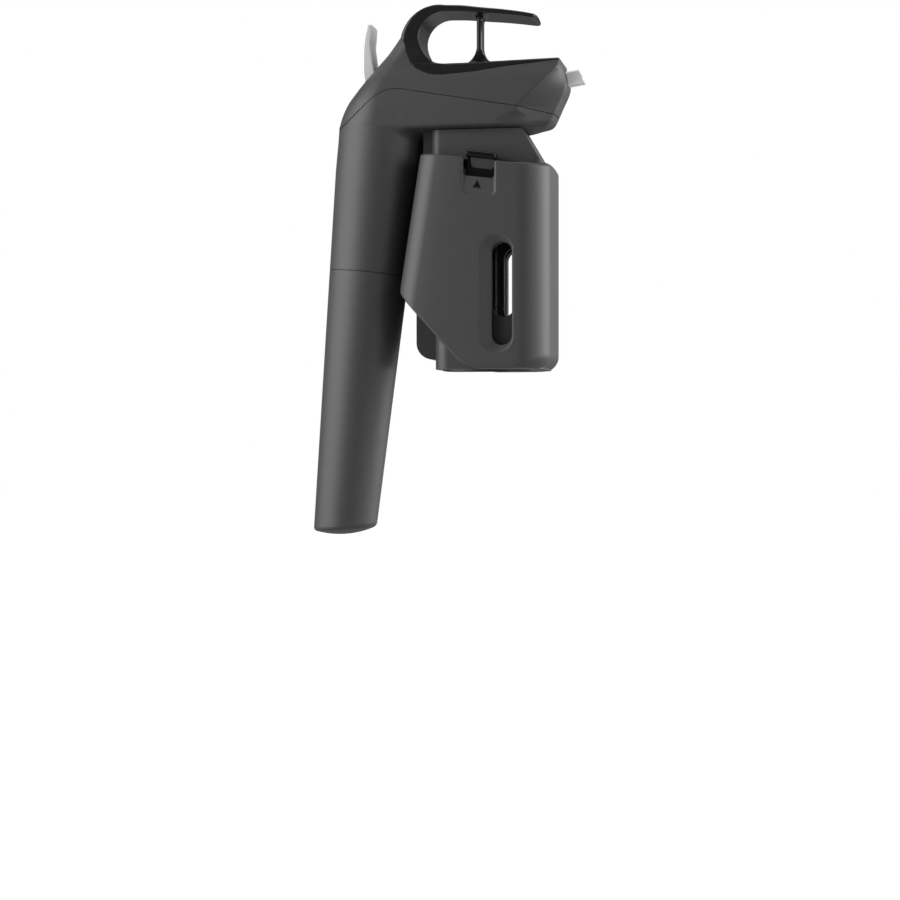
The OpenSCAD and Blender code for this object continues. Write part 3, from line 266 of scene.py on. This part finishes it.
def cut(points, tris, keep):
    """The part of a surface where keep(x, y, z) > 0. A triangle that the line keep = 0
    crosses is divided on it: the new point on an edge is at s0/(s0 - s1) of its length."""
    s = keep(*points.T)
    s = np.where(np.abs(s) < 1e-7, 1e-7, s)
    above = s > 0
    number_above = above[tris].sum(axis=1)
    kept, wanted = [tris[number_above == 3]], []
    for n in (1, 2):
        t = tris[number_above == n]
        odd = np.argmax(above[t] if n == 1 else ~above[t], axis=1)
        row = np.arange(len(t))
        a, b, c = t[row, odd], t[row, (odd + 1) % 3], t[row, (odd + 2) % 3]
        wanted.append((n, a, b, c))
    pairs = np.concatenate([np.stack([a, o], 1) for n, a, b, c in wanted for o in (b, c)])
    pairs = np.sort(pairs, axis=1)
    edges, which = np.unique(pairs, axis=0, return_inverse=True)
    which = which.reshape(-1) + len(points)
    s0, s1 = s[edges[:, 0]], s[edges[:, 1]]
    t = (s0/(s0 - s1))[:, None]
    fresh = points[edges[:, 0]]*(1 - t) + points[edges[:, 1]]*t
    at = 0
    for n, a, b, c in wanted:
        ab, ac = which[at:at + len(a)], which[at + len(a):at + 2*len(a)]
        at += 2*len(a)
        if n == 1:
            kept.append(np.stack([a, ab, ac], 1))
        else:
            kept += [np.stack([ab, b, c], 1), np.stack([ab, c, ac], 1)]
    points, tris = np.concatenate([points, fresh]), np.concatenate(kept)
    tris = tris[(tris != np.roll(tris, 1, axis=1)).all(axis=1)]
    used, again = np.unique(tris, return_inverse=True)
    return points[used], again.reshape(-1, 3)


def moulded(name, field, points, tris, wall, lining=True):
    """A moulded piece from its outer skin: an inner skin as its lining, wall mm further in
    along the gradient, and a flat rim round every opening. Normals come from the gradient."""
    g = slope_of(field, points)
    out = g/np.linalg.norm(g, axis=1)[:, None]
    inner = points - wall*out
    n = len(points)
    ends = np.concatenate([tris[:, [0, 1]], tris[:, [1, 2]], tris[:, [2, 0]]])
    key, twin = ends[:, 0]*n + ends[:, 1], ends[:, 1]*n + ends[:, 0]
    rim = ends[~np.isin(key, twin)]
    m = len(rim)
    start, end = rim.T
    rim_points = np.concatenate([points[end], points[start], inner[start], inner[end]])
    base = n*(2 if lining else 1)
    i = np.arange(m) + base
    rim_tris = np.concatenate([np.stack([i, i + a*m, i + (a + 1)*m], 1) for a in (1, 2)])
    if lining:
        points = np.concatenate([points, inner, rim_points])
        tris = np.concatenate([tris, tris[:, ::-1] + n, rim_tris])
        normals = np.concatenate([out, -out, np.zeros((4*m, 3))])
    else:
        points = np.concatenate([points, rim_points])
        tris = np.concatenate([tris, rim_tris])
        normals = np.concatenate([out, np.zeros((4*m, 3))])
    return piece_from(name, points, tris, normals)


def piece_from(name, points, tris, normals):
    """A smooth-shaded object from points in mm. A normal of zero length stays Blender's own."""
    mesh = bpy.data.meshes.new(name)
    mesh.vertices.add(len(points))
    mesh.vertices.foreach_set("co", (points*MM).astype(np.float32).ravel())
    mesh.loops.add(tris.size)
    mesh.loops.foreach_set("vertex_index", tris.astype(np.int32).ravel())
    mesh.polygons.add(len(tris))
    mesh.polygons.foreach_set("loop_start", np.arange(0, tris.size, 3, dtype=np.int32))
    mesh.polygons.foreach_set("use_smooth", np.ones(len(tris), bool))
    mesh.update(calc_edges=True)
    mesh.validate()
    if len(mesh.vertices) == len(normals):
        mesh.normals_split_custom_set_from_vertices(normals.tolist())
    thing = bpy.data.objects.new(name, mesh)
    bpy.context.collection.objects.link(thing)
    return thing


def grained(name, colour, roughness, grain, grain_size=0.35, metallic=0.0, specular=0.5):
    """A finish with a fine grain as bump and roughness, the latter 0.05 either way, and with
    faint clouds of tone, 6 per cent either way. The grain's size is in mm."""
    paint = bpy.data.materials.new(name)
    paint.use_nodes = True
    nodes, links = paint.node_tree.nodes, paint.node_tree.links
    shader = nodes["Principled BSDF"]
    shader.inputs["Metallic"].default_value = metallic
    shader.inputs["Specular IOR Level"].default_value = specular
    place = nodes.new("ShaderNodeTexCoord").outputs["Object"]

    def noise(size, detail):
        """Noise with features of about size mm."""
        node = nodes.new("ShaderNodeTexNoise")
        node.inputs["Scale"].default_value = 1000/size
        node.inputs["Detail"].default_value = detail
        links.new(place, node.inputs["Vector"])
        return node.outputs["Fac"]

    fine, clouds = noise(grain_size, 2), noise(14, 3)
    tone = nodes.new("ShaderNodeMixRGB")
    links.new(clouds, tone.inputs["Fac"])
    tone.inputs["Color1"].default_value = (*[c*0.94 for c in colour], 1)
    tone.inputs["Color2"].default_value = (*[c*1.06 for c in colour], 1)
    links.new(tone.outputs["Color"], shader.inputs["Base Color"])
    rough = nodes.new("ShaderNodeMapRange")
    rough.inputs["To Min"].default_value = roughness - 0.05
    rough.inputs["To Max"].default_value = roughness + 0.05
    links.new(fine, rough.inputs["Value"])
    links.new(rough.outputs["Result"], shader.inputs["Roughness"])
    bump = nodes.new("ShaderNodeBump")
    bump.inputs["Strength"].default_value = grain
    bump.inputs["Distance"].default_value = 0.00004
    links.new(fine, bump.inputs["Height"])
    links.new(bump.outputs["Normal"], shader.inputs["Normal"])
    return paint


body_paint = grained("matte_grey", (0.04, 0.04, 0.041), 0.5, 0.5)
skin, skin_tris = surface_net(shell_field, (-73, -21, 26), (32, 21, 133), 0.55)


def seam_gap(x):
    """Half the width of the groove along the parting line: 0.14, and twice that at the back."""
    return 0.14 + 0.14*ramp((-48 - x)/10)


def below_seam(x, y, z):
    """How far a point lies under the groove of the parting line."""
    return soft(seam_line, x) - seam_gap(x) - z


def above_joint(x, y, z):
    """How far a point lies over the gap at the joint, along the tube."""
    return tube_frame(x, y, z)[1] - JOINT_GAP


def field_piece(name, field, low, high, step):
    """A closed piece from the zero surface of a field, with normals from its gradient."""
    points, tris = surface_net(field, low, high, step)
    g = slope_of(field, points)
    return piece_from(name, points, tris, g/np.linalg.norm(g, axis=1)[:, None])


def fit_out(piece, paint, node, body):
    """Gives a piece its material, and stands it in for a CAD node on that node's body."""
    piece.data.materials.append(paint)
    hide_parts(node)
    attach(piece, body)


points, tris = cut(skin, skin_tris, below_seam)
points, tris = cut(points, tris, above_joint)
fit_out(moulded("lower_shell_skin", shell_field, points, tris, SHELL_WALL, lining=False),
        body_paint, "lower_shell", "head")


def lip_field(x, y, z):
    """A ring from 0.5 to 1.3 mm inside the cone, from 0.15 below the joint to 1 above it."""
    cone, along = tube_field(x, y, z), tube_frame(x, y, z)[1]
    return meet(np.abs(cone + 0.9) - 0.4, np.abs(along - 0.425) - 0.575, 0.05)


fit_out(field_piece("lower_shell_lip", lip_field, (-71.5, -16.8, 28.8), (-37.8, 16.8, 34), 0.2),
        body_paint, "lower_shell", "head")

# ---- Head, top cover ------------------------------------------------------------------
# The matte upper half of the head, from the same skin: cut at the parting line and round the
# gloss insert, with a slot at the back for the trigger and a hole in its nose for the spout.
insert_line = np.array([[-60, 131], [-41.2, 130.2], [-38.4, 129.2], [-37.1, 126.1], [-36.3, 122.5],
    [-34.1, 117.5], [-31.6, 115.4], [-28.4, 113.7], [-25, 112.6], [-20.2, 112.4], [-7.3, 113.4],
    [5.5, 115.3], [28.5, 117.7], [40, 118.7]])
TOP_WALL = 1.8
SPOUT_X, SPOUT_Z, SPOUT_RISE = 19.0, 109.3, math.radians(9.5)
SPOUT_HW, SPOUT_HH = 3.6, 3.0       # half the spout's width and height


def above_seam(x, y, z):
    """How far a point lies over the groove of the parting line."""
    return z - soft(seam_line, x) - seam_gap(x)


def below_insert(x, y, z):
    """How far a point lies under the insert's lower edge, less 0.05."""
    return np.interp(x, *insert_line.T) - 0.05 - z


def outside_slot(x, y, z):
    """Positive outside the trigger's slot."""
    return np.maximum(np.maximum(np.abs(x + 52.3) - 5.9, np.abs(y) - 6.5), 99 - z)


def spout_frame(x, z):
    """Distance along the rising spout from its hidden root, and height over its axis."""
    along = (x - SPOUT_X)*math.cos(SPOUT_RISE) + (z - SPOUT_Z)*math.sin(SPOUT_RISE)
    return along, (z - SPOUT_Z)*math.cos(SPOUT_RISE) - (x - SPOUT_X)*math.sin(SPOUT_RISE)


def outside_spout(x, y, z):
    """Positive outside the hole for the spout in the nose."""
    along, high = spout_frame(x, z)
    hole = meet(np.abs(y) - SPOUT_HW - 0.15, np.abs(high) - SPOUT_HH - 0.15, 1.2)
    return np.maximum(hole, -along)


points, tris = skin, skin_tris
for line in (above_seam, below_insert, outside_slot, outside_spout):
    points, tris = cut(points, tris, line)
fit_out(moulded("top_cover_skin", shell_field, points, tris, TOP_WALL), body_paint,
        "top_cover", "head")

# ---- Handle loop ------------------------------------------------------------------------
# Gloss black moulding in one piece: a crowned band that curls round the finger hole and runs
# forwards as an arm, a post under it, and the insert that closes the top of the head.
LOOP_X, LOOP_Z, LOOP_R, LOOP_HW = -20.4, 129.0, 10.8, 11.0
POST_X, POST_HALF, POST_HW = -6.6, 1.15, 4
# The band's thickness at its edges and the height of its crown by angle round the hole; along
# the arm: place, underside, thickness at the edges and height of the crown
edge_at = np.array([[90, 2.4], [114, 3.5], [141, 5], [157, 5.9], [174, 6.7], [200, 7.6], [225, 8],
    [270, 6]])
crown_at = np.array([[90, 1.4], [135, 1.8], [180, 2.5], [225, 2.2], [270, 0.5]])
arm_at = np.array([[-20.4, 139.8, 2.4, 1.4], [-13, 139.5, 2.3, 1.4], [-6, 138.8, 2.1, 1.3],
    [4.3, 137.8, 1.9, 1.1], [12, 136.8, 1.7, 1.0], [19.4, 135.6, 1.5, 0.7]])


def round_loop(x, z):
    """Angle round the finger hole, and distance outside it; the hole is 0.8 mm deeper below."""
    dx, dz = x - LOOP_X, z - LOOP_Z
    angle = np.degrees(np.arctan2(dz, dx)) % 360
    return angle, np.hypot(dx, dz) - LOOP_R - 0.8*ramp((angle - 205)/60)


def band_field(x, y, z):
    """The crowned band: its height is the distance from the hole round the ring, and from
    the arm's underside along the arm."""
    angle, outside = round_loop(x, z)
    ring = x < LOOP_X
    height = np.where(ring, outside, z - soft(arm_at[:, :2], x))
    edge = np.where(ring, soft(edge_at, np.clip(angle, 90, 270)), soft(arm_at[:, [0, 2]], x))
    crown = np.where(ring, soft(crown_at, np.clip(angle, 90, 270)), soft(arm_at[:, [0, 3]], x))
    half = LOOP_HW - np.maximum(x - 13, 0)**2*0.045 + np.where(ring, 2*ramp((angle - 165)/60), 0)
    top = edge + crown*(1 - (y/half)**2)
    body = meet(-height, height - top, 0.5)
    body = meet(body, np.abs(y) - half, 0.7)
    body = meet(body, 0.93*(x - 17.7) - 0.37*(z - 136), 1.1)
    return np.where(ring | (z > LOOP_Z), body, np.maximum(body, 3))


def loop_field(x, y, z):
    """Insert and band joined, less the finger hole's floor; then the post between them, with
    a wide fillet at its root and a small one at its head."""
    top = np.interp(x, [-25, -12, 29], [117.4, 117.5, 118.6])
    insert = meet(head_field(x, y, z), z - top, 0.7)
    line = np.interp(x, *insert_line.T) + 0.05
    insert = meet(insert, (line - z)*0.9, 0.1)
    whole = join(insert, band_field(x, y, z), 1.5)
    hole = np.maximum(round_loop(x, z)[1], 117.4 - z)
    whole = np.maximum(whole, -hole)
    post = meet(np.abs(x - POST_X) - POST_HALF, np.abs(y) - POST_HW, 1.1)
    post = np.maximum(post, np.maximum(z - 140, 116 - z))
    whole = join(whole, post, np.where(z < 127, 8.5, 2.5))
    return np.maximum(whole, (line - z)*0.7)


gloss_paint = grained("gloss_black", (0.010, 0.010, 0.011), 0.18, 0.12, 1.6, specular=0.36)
fit_out(field_piece("handle_loop_form", loop_field, (-45, -17, 108), (31, 17, 145), 0.4),
        gloss_paint, "handle_loop", "head")

# ---- Side covers --------------------------------------------------------------------------
# Two matte mouldings clipped over the frame, each with a sight window scooped out towards the
# handle, a notch for the latch and a finger pocket under it. Made from one field, mirrored.
FRONT_X, COVER_HW, FOOT_Z, COVER_WALL = 24.9, 26.0, -10.4, 1.0
WINDOW_X, WINDOW_Z = 6.2, 20.3
NOTCH_X, NOTCH_HW, NOTCH_TILT = -3.35, 6.4, 0.12
TOP_SLOPE = 0.128                   # fall of the top edge per mm forwards


def stadium_field(dx, dz, half, reach):
    """Distance outside a stadium of that half width and half height."""
    return np.hypot(dx, np.maximum(np.abs(dz) - (reach - half), 0)) - half


def pocket_face(side, z):
    """How far a point lies inside the finger pocket's face, which slopes in upwards."""
    return COVER_HW - 0.1673*(z - 60.8) - side


def cover_field(x, y, z):
    """The right cover's outside: plan corners met with the slanted top, the foot and the back
    cut, less the window's tapered scoop and the wedge of the finger pocket."""
    side = -y
    rear = -0.9885*(x + 38.2) + 0.1513*(z - 21.5)
    crown = 1.5*np.clip((20 + rear)/20, 0, 1)**2
    plan = np.maximum(meet(x - FRONT_X, side - COVER_HW, 13),
                      meet(rear, side - COVER_HW + crown, 9))
    dome = 1.6*ramp((x - 14)/8)*np.clip(1 - (side/20)**2, 0, 1)
    top = np.minimum(0.9919*(z - 79 + TOP_SLOPE*(x + 29.1)), z - 74 - dome)
    slant = -0.7410*(x + 9) - 0.6713*(z - FOOT_Z)
    foot = meet(FOOT_Z - z, slant, 4.6)
    low_rear = meet(slant, rear, 1.5)
    edge = 0.9 + (1.7 + 3.4*ramp((40 - z)/30))*ramp((x - 10)/14)
    form = meet(np.maximum(np.maximum(top, foot), low_rear), plan, edge)
    form = meet(form, side - COVER_HW, 0.3)
    u = np.clip((side - 23.6)/2.4, -0.3, 1.5)
    scoop = stadium_field(x - WINDOW_X + 0.2 + 2.0*u, z - WINDOW_Z, 3.7 + 3.2*u, 20.6 + 3.8*u)*0.6
    form = meet(form, -scoop, 0.25)
    pocket = meet(np.abs(x - NOTCH_X) - NOTCH_HW, 61.2 - z - NOTCH_TILT*(x - NOTCH_X), 2.5)
    pocket = meet(pocket, pocket_face(side, z), 0.1)
    return meet(form, -pocket, 1.2)


def left_cover_field(x, y, z):
    """The right cover's field, mirrored."""
    return cover_field(x, -y, z)


def rounded_box(dx, dz, half_x, half_z, r):
    """Distance outside a rounded rectangle."""
    qx, qz = np.abs(dx) - half_x + r, np.abs(dz) - half_z + r
    return np.hypot(np.maximum(qx, 0), np.maximum(qz, 0)) + np.minimum(np.maximum(qx, qz), 0) - r


def cover_cuts(x, side, z):
    """What is kept of the skin: this half, the window, the notch, and clear of the frame's
    foot below, its tower above and the rail's gap behind."""
    return (side - 0.05,
            stadium_field(x - WINDOW_X, z - WINDOW_Z, 4.3, 21.2),
            rounded_box(x - NOTCH_X, z + NOTCH_TILT*(x - NOTCH_X) - 98.3, NOTCH_HW, 30, 1.3),
            np.maximum(rounded_box(x + 0.8, side, 22.85, 18.15, 6), z - 30),
            np.maximum(rounded_box(x + 1.85, side, 24.0, 13.75, 4), 30 - z),
            np.maximum(side - 12.5, x + 23.65))


cover_skin, cover_tris = surface_net(cover_field, (-39, -27, -12), (26, 1, 82), 0.5)
for number in range(6):
    cover_skin, cover_tris = cut(cover_skin, cover_tris,
                                 lambda x, y, z: cover_cuts(x, -y, z)[number])
fit_out(moulded("side_cover_right_skin", cover_field, cover_skin, cover_tris, COVER_WALL),
        body_paint, "side_cover_right", "base")
fit_out(moulded("side_cover_left_skin", left_cover_field, cover_skin*(1, -1, 1),
                cover_tris[:, ::-1], COVER_WALL),
        body_paint, "side_cover_left", "base")

# ---- Latches --------------------------------------------------------------------------------
# Gloss black plates behind the notches, each with a bar along its top that slopes with the
# cover's edge. A satin panel stands a little proud of the plate under the bar.
LATCH_X = -2.95


def latch_field(x, y, z):
    """The plate and the bar joined by a small fillet, both sheared along the slope."""
    side, high = np.abs(y), z + TOP_SLOPE*(x - LATCH_X)
    plate = meet(np.abs(x - LATCH_X) - 5.95, np.abs(side - 21.4) - 0.8, 0.3)
    plate = meet(plate, np.maximum(high - 77, 66.4 - high), 0.3)
    bar = rounded_box(side - 19.3, high - 77.7, 4.7, 1.55, 1.5)
    bar = meet(bar, np.abs(x - LATCH_X - 0.1) - 6.2, 0.7)
    return join(plate, bar, 0.3)


def panel_field(x, y, z):
    """A thin slab with rounded corners, sheared as the bar is."""
    side, high = np.abs(y), z + TOP_SLOPE*(x - LATCH_X)
    slab = rounded_box(x - LATCH_X - 0.9, high - 74.6, 4.9, 2.6, 1.6)
    return meet(slab, np.abs(side - 22.2) - 0.45, 0.25)


# The latches' own black, made darker and less glossy than the loop's as painted shade of the
# notch's recess
latch_shade_paint = grained("latch_black_painted_shade", (0.004, 0.004, 0.004), 0.2, 0.1, 1.6, specular=0.25)
panel_paint = grained("satin_black", (0.03, 0.03, 0.031), 0.45, 0.3, 0.5)
for hand, body, low in (("right", "latch_r", -25), ("left", "latch_l", 14)):
    fit_out(field_piece("latch_form_" + hand, latch_field, (-11, low, 65), (5, low + 11, 82), 0.3),
            latch_shade_paint, "latch_" + hand, body)
    fit_out(field_piece("latch_panel_" + hand, panel_field, (-9, low, 70), (5, low + 11, 79), 0.2),
            panel_paint, "latch_" + hand, body)

# ---- Arrows in the finger pockets ------------------------------------------------------------
# A small black triangle printed on each pocket's sloping face, its point towards the latch. It
# is a thin closed film in matt ink.
ARROW = ((-5.7, 64.0), (-2.5, 63.6), (-3.9, 66.9))


def arrow_field(x, y, z):
    """A film 0.12 mm either side of the pocket's face, inside the three edges of the triangle."""
    shape = np.abs(pocket_face(np.abs(y), z)) - 0.12
    for (ax, az), (bx, bz) in zip(ARROW, ARROW[1:] + ARROW[:1]):
        edge = ((x - ax)*(bz - az) - (z - az)*(bx - ax))/math.hypot(bx - ax, bz - az)
        shape = meet(shape, edge, 0.05)
    return shape


arrow_paint = grained("print_black", (0.004, 0.004, 0.004), 0.5, 0.2, 0.3, specular=0.1)
for hand, low in (("right", -26.5), ("left", 24)):
    fit_out(field_piece("arrow_" + hand, arrow_field, (-6.5, low, 63), (-2, low + 2.5, 67.5), 0.1),
            arrow_paint, "side_cover_" + hand, "base")

# ---- Capsule cup ---------------------------------------------------------------------------
# The cup screwed on the tube's end, in the shell's matte plastic: the same cone carried on,
# with a domed foot.
CUP_WALL = 1.4
FOOT_X, FOOT_END, FOOT_R = -65.4, -79.8, 37     # the dome's lowest point, and its radius
FOOT_TURN = math.radians(3.1)


def cup_field(x, y, z):
    """The tube's cone below the joint, met with the dome's sphere under it."""
    cx, cz = FOOT_X - FOOT_R*math.sin(FOOT_TURN), FOOT_END + FOOT_R*math.cos(FOOT_TURN)
    dome = np.sqrt((x - cx)**2 + y**2 + (z - cz)**2) - FOOT_R
    return meet(tube_field(x, y, z), np.where(z < cz, dome, -5), 1.2)


def below_joint(x, y, z):
    """How far a point lies under the gap at the joint, along the tube."""
    return -JOINT_GAP - tube_frame(x, y, z)[1]


cup_skin, cup_tris = surface_net(cup_field, (-82, -19, -82), (-34, 19, 36), 0.55)
cup_skin, cup_tris = cut(cup_skin, cup_tris, below_joint)
fit_out(moulded("capsule_cup_skin", cup_field, cup_skin, cup_tris, CUP_WALL), body_paint,
        "capsule_cup", "cup")

# ---- Trigger ----------------------------------------------------------------------------------
# A satin metal blade, dished on its front face, with the boss and the lever that reaches
# forwards to the valve's plunger.
PIN_X, PIN_Z = -48, 104
PRESS_X, PRESS_Z = -18.5, 108.9     # the lever's nose, over the plunger
TRIGGER_HW, LEVER_HW = 6, 3
trigger_back = np.array([[100, -52.5], [105, -51.5], [110.6, -55.5], [115, -56.2], [119.1, -56.4],
    [125.9, -56.2], [131.9, -55.5], [137, -54.2]])
trigger_front = np.array([[100, -46], [107, -45.6], [110, -48.6], [117.9, -51.3], [123.3, -52.2],
    [127.4, -52.7], [131.4, -52.4], [137, -52.1]])


def trigger_field(x, y, z):
    """The blade between its back and front lines, with the boss round the pin and the lever."""
    blade = meet(soft(trigger_back, z) - x, x - soft(trigger_front, z), 0.6)
    blade = meet(blade, np.abs(y) - TRIGGER_HW, 0.8)
    blade = meet(blade, np.maximum(z - 136.2, 105 - z), 0.6)
    boss = meet(np.hypot(x - PIN_X, z - PIN_Z) - 3.2, np.abs(y) - TRIGGER_HW, 0.4)
    t = np.clip((x - PIN_X)/(PRESS_X - PIN_X), 0, 1)
    mid, half = PIN_Z + t*(PRESS_Z - PIN_Z + 0.2), 2.6 - t*1.2
    lever = np.maximum(np.abs(z - mid) - half, np.abs(x + 33.2) - 14.8)
    lever = np.minimum(lever, np.hypot(x - PRESS_X, z - PRESS_Z) - 2)
    return join(join(blade, boss, 0.6), np.maximum(lever, np.abs(y) - LEVER_HW), 0.5)


satin_paint = grained("satin_metal", (0.6, 0.6, 0.61), 0.36, 0.3, 0.5, metallic=0.3)
fit_out(field_piece("trigger_form", trigger_field, (-58, -7, 99), (-15, 7, 137.5), 0.35),
        satin_paint, "trigger", "lever")

# ---- Spout ---------------------------------------------------------------------------------------
# A rectangular steel tube with rounded corners. Its near-white, hardly metallic colour is painted
# reflection of the bright studio light that polished steel mirrors. It rises through the hole in
# the nose, and its mouth is cut back at the top.
SPOUT_WALL, SPOUT_LENGTH = 0.8, 18.6


def spout_field(x, y, z):
    """A rounded rectangular tube along the rising axis, ended by a slanted plane."""
    along, high = spout_frame(x, z)
    outer = meet(np.abs(y) - SPOUT_HW, np.abs(high) - SPOUT_HH, 1.3)
    inner = meet(np.abs(y) - SPOUT_HW + SPOUT_WALL, np.abs(high) - SPOUT_HH + SPOUT_WALL, 0.8)
    inner = np.maximum(inner, 1.5 - along)
    tube = meet(outer, -inner, 0.2)
    mouth = 0.970*(along - SPOUT_LENGTH) + 0.242*(high + SPOUT_HH)
    return meet(tube, np.maximum(mouth, -along), 0.15)


# Painted reflection: near-white and hardly metallic, in place of the light the steel would mirror
spout_reflection_paint = grained("spout_steel", (0.93, 0.93, 0.93), 0.26, 0.1, 0.8, metallic=0.05)
fit_out(field_piece("spout_form", spout_field, (18, -4.5, 104), (40, 4.5, 118), 0.16), spout_reflection_paint,
        "spout", "head")

# ---- Frame, glides, gasket and guide -----------------------------------------------------------
# The frame keeps its CAD form in the covers' plastic. The glides are white acetal, the lip
# gasket and the needle's guide black rubber; all three are pressed into the frame.


def carry(paint, *names):
    """Gives CAD nodes a material in place of their own."""
    for name in names:
        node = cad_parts[name]
        node.data.materials.clear()
        node.data.materials.append(paint)


rubber_paint = grained("soft_black", (0.016, 0.016, 0.016), 0.75, 0.6, 0.5)
acetal_paint = grained("glide_white", (0.72, 0.72, 0.7), 0.45, 0.2, 0.5)
carry(body_paint, "base_frame")
carry(acetal_paint, "rail_glides")
carry(rubber_paint, "needle_guide", "lip_gasket")

# ---- Clamp, rail and latch springs ---------------------------------------------------------------
# Arms and rail are fine-grained black plastic, and the arms' pads are rubber. The arms hang on
# steel pins; pins and springs are steel wire with a faint grain.
rail_paint = grained("rail_black", (0.02, 0.02, 0.021), 0.36, 0.4, 0.5)
wire_paint = grained("steel", (0.56, 0.56, 0.57), 0.28, 0.15, 0.4, metallic=1.0)
carry(rail_paint, "slide_rail", "clamp_arm_right", "clamp_arm_left")
carry(rubber_paint, "clamp_pad_right", "clamp_pad_left")
carry(wire_paint, "clamp_pins", "clamp_spring_right", "clamp_spring_left",
      "latch_spring_right", "latch_spring_left")

# ---- Valve, needle and pipes ---------------------------------------------------------------------
# A cast alloy valve body and a turned brass plunger over the steel needle and its ribbed nut.
# The plunger's wire spring is one fixed coil 6.3 mm long, carried by the head; it is not made to
# shorten with the plunger, which would bring it to about 2.1 mm. The two pipes are milky nylon:
# one joins the valve to the spout, the other the regulator to the valve.
COIL_Z, COIL_R, COIL_TURNS, COIL_PITCH, WIRE_R = 98.85, 2.3, 4, 1.45, 0.25


def spring_field(x, y, z):
    """Distance from a rising helix round the plunger, less the wire's radius. The nearest
    turn comes from the angle and the height, held within the helix's two ends."""
    dx, dz = x - PRESS_X, z - COIL_Z
    turn = np.arctan2(y, dx)/(2*np.pi)
    near = np.clip(np.round(dz/COIL_PITCH - turn) + turn, 0, COIL_TURNS)
    angle = 2*np.pi*near
    across = np.hypot(dx - COIL_R*np.cos(angle), y - COIL_R*np.sin(angle))
    return np.hypot(across, dz - COIL_PITCH*near) - WIRE_R


alloy_paint = grained("alloy", (0.5, 0.51, 0.53), 0.42, 0.5, 0.4, metallic=1.0)
brass_paint = grained("brass", (0.66, 0.45, 0.16), 0.32, 0.2, 0.5, metallic=1.0)
pipe_paint = grained("tube_white", (0.7, 0.7, 0.68), 0.3, 0.1, 1.0)
carry(alloy_paint, "valve_body")
carry(brass_paint, "valve_plunger")
carry(wire_paint, "needle", "needle_nut", "trigger_pin")
spring = field_piece("valve_spring_form", spring_field,
                     (-21.3, -2.8, 98.4), (-15.7, 2.8, 105.1), 0.1)
fit_out(spring, wire_paint, "valve_spring", "head")
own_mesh(spring)
carry(rubber_paint, "plunger_seal", "needle_seal")
carry(pipe_paint, "wine_tube", "gas_tube")

# ---- Regulator, capsule and screws ---------------------------------------------------------------
# Alloy body with a brass cap and piston, a steel piercing pin, the plated capsule, and the
# cup's threaded alloy ring. All screws are steel.
capsule_paint = grained("capsule_steel", (0.5, 0.5, 0.51), 0.35, 0.2, 0.8, metallic=1.0)
carry(alloy_paint, "regulator_body", "cup_thread_ring")
carry(brass_paint, "regulator_cap", "regulator_piston")
carry(wire_paint, "regulator_spring", "piercing_pin", "rail_screws", "shell_screws", "valve_screws")
carry(rubber_paint, "piston_seal", "pierce_seal")
carry(capsule_paint, "gas_capsule")
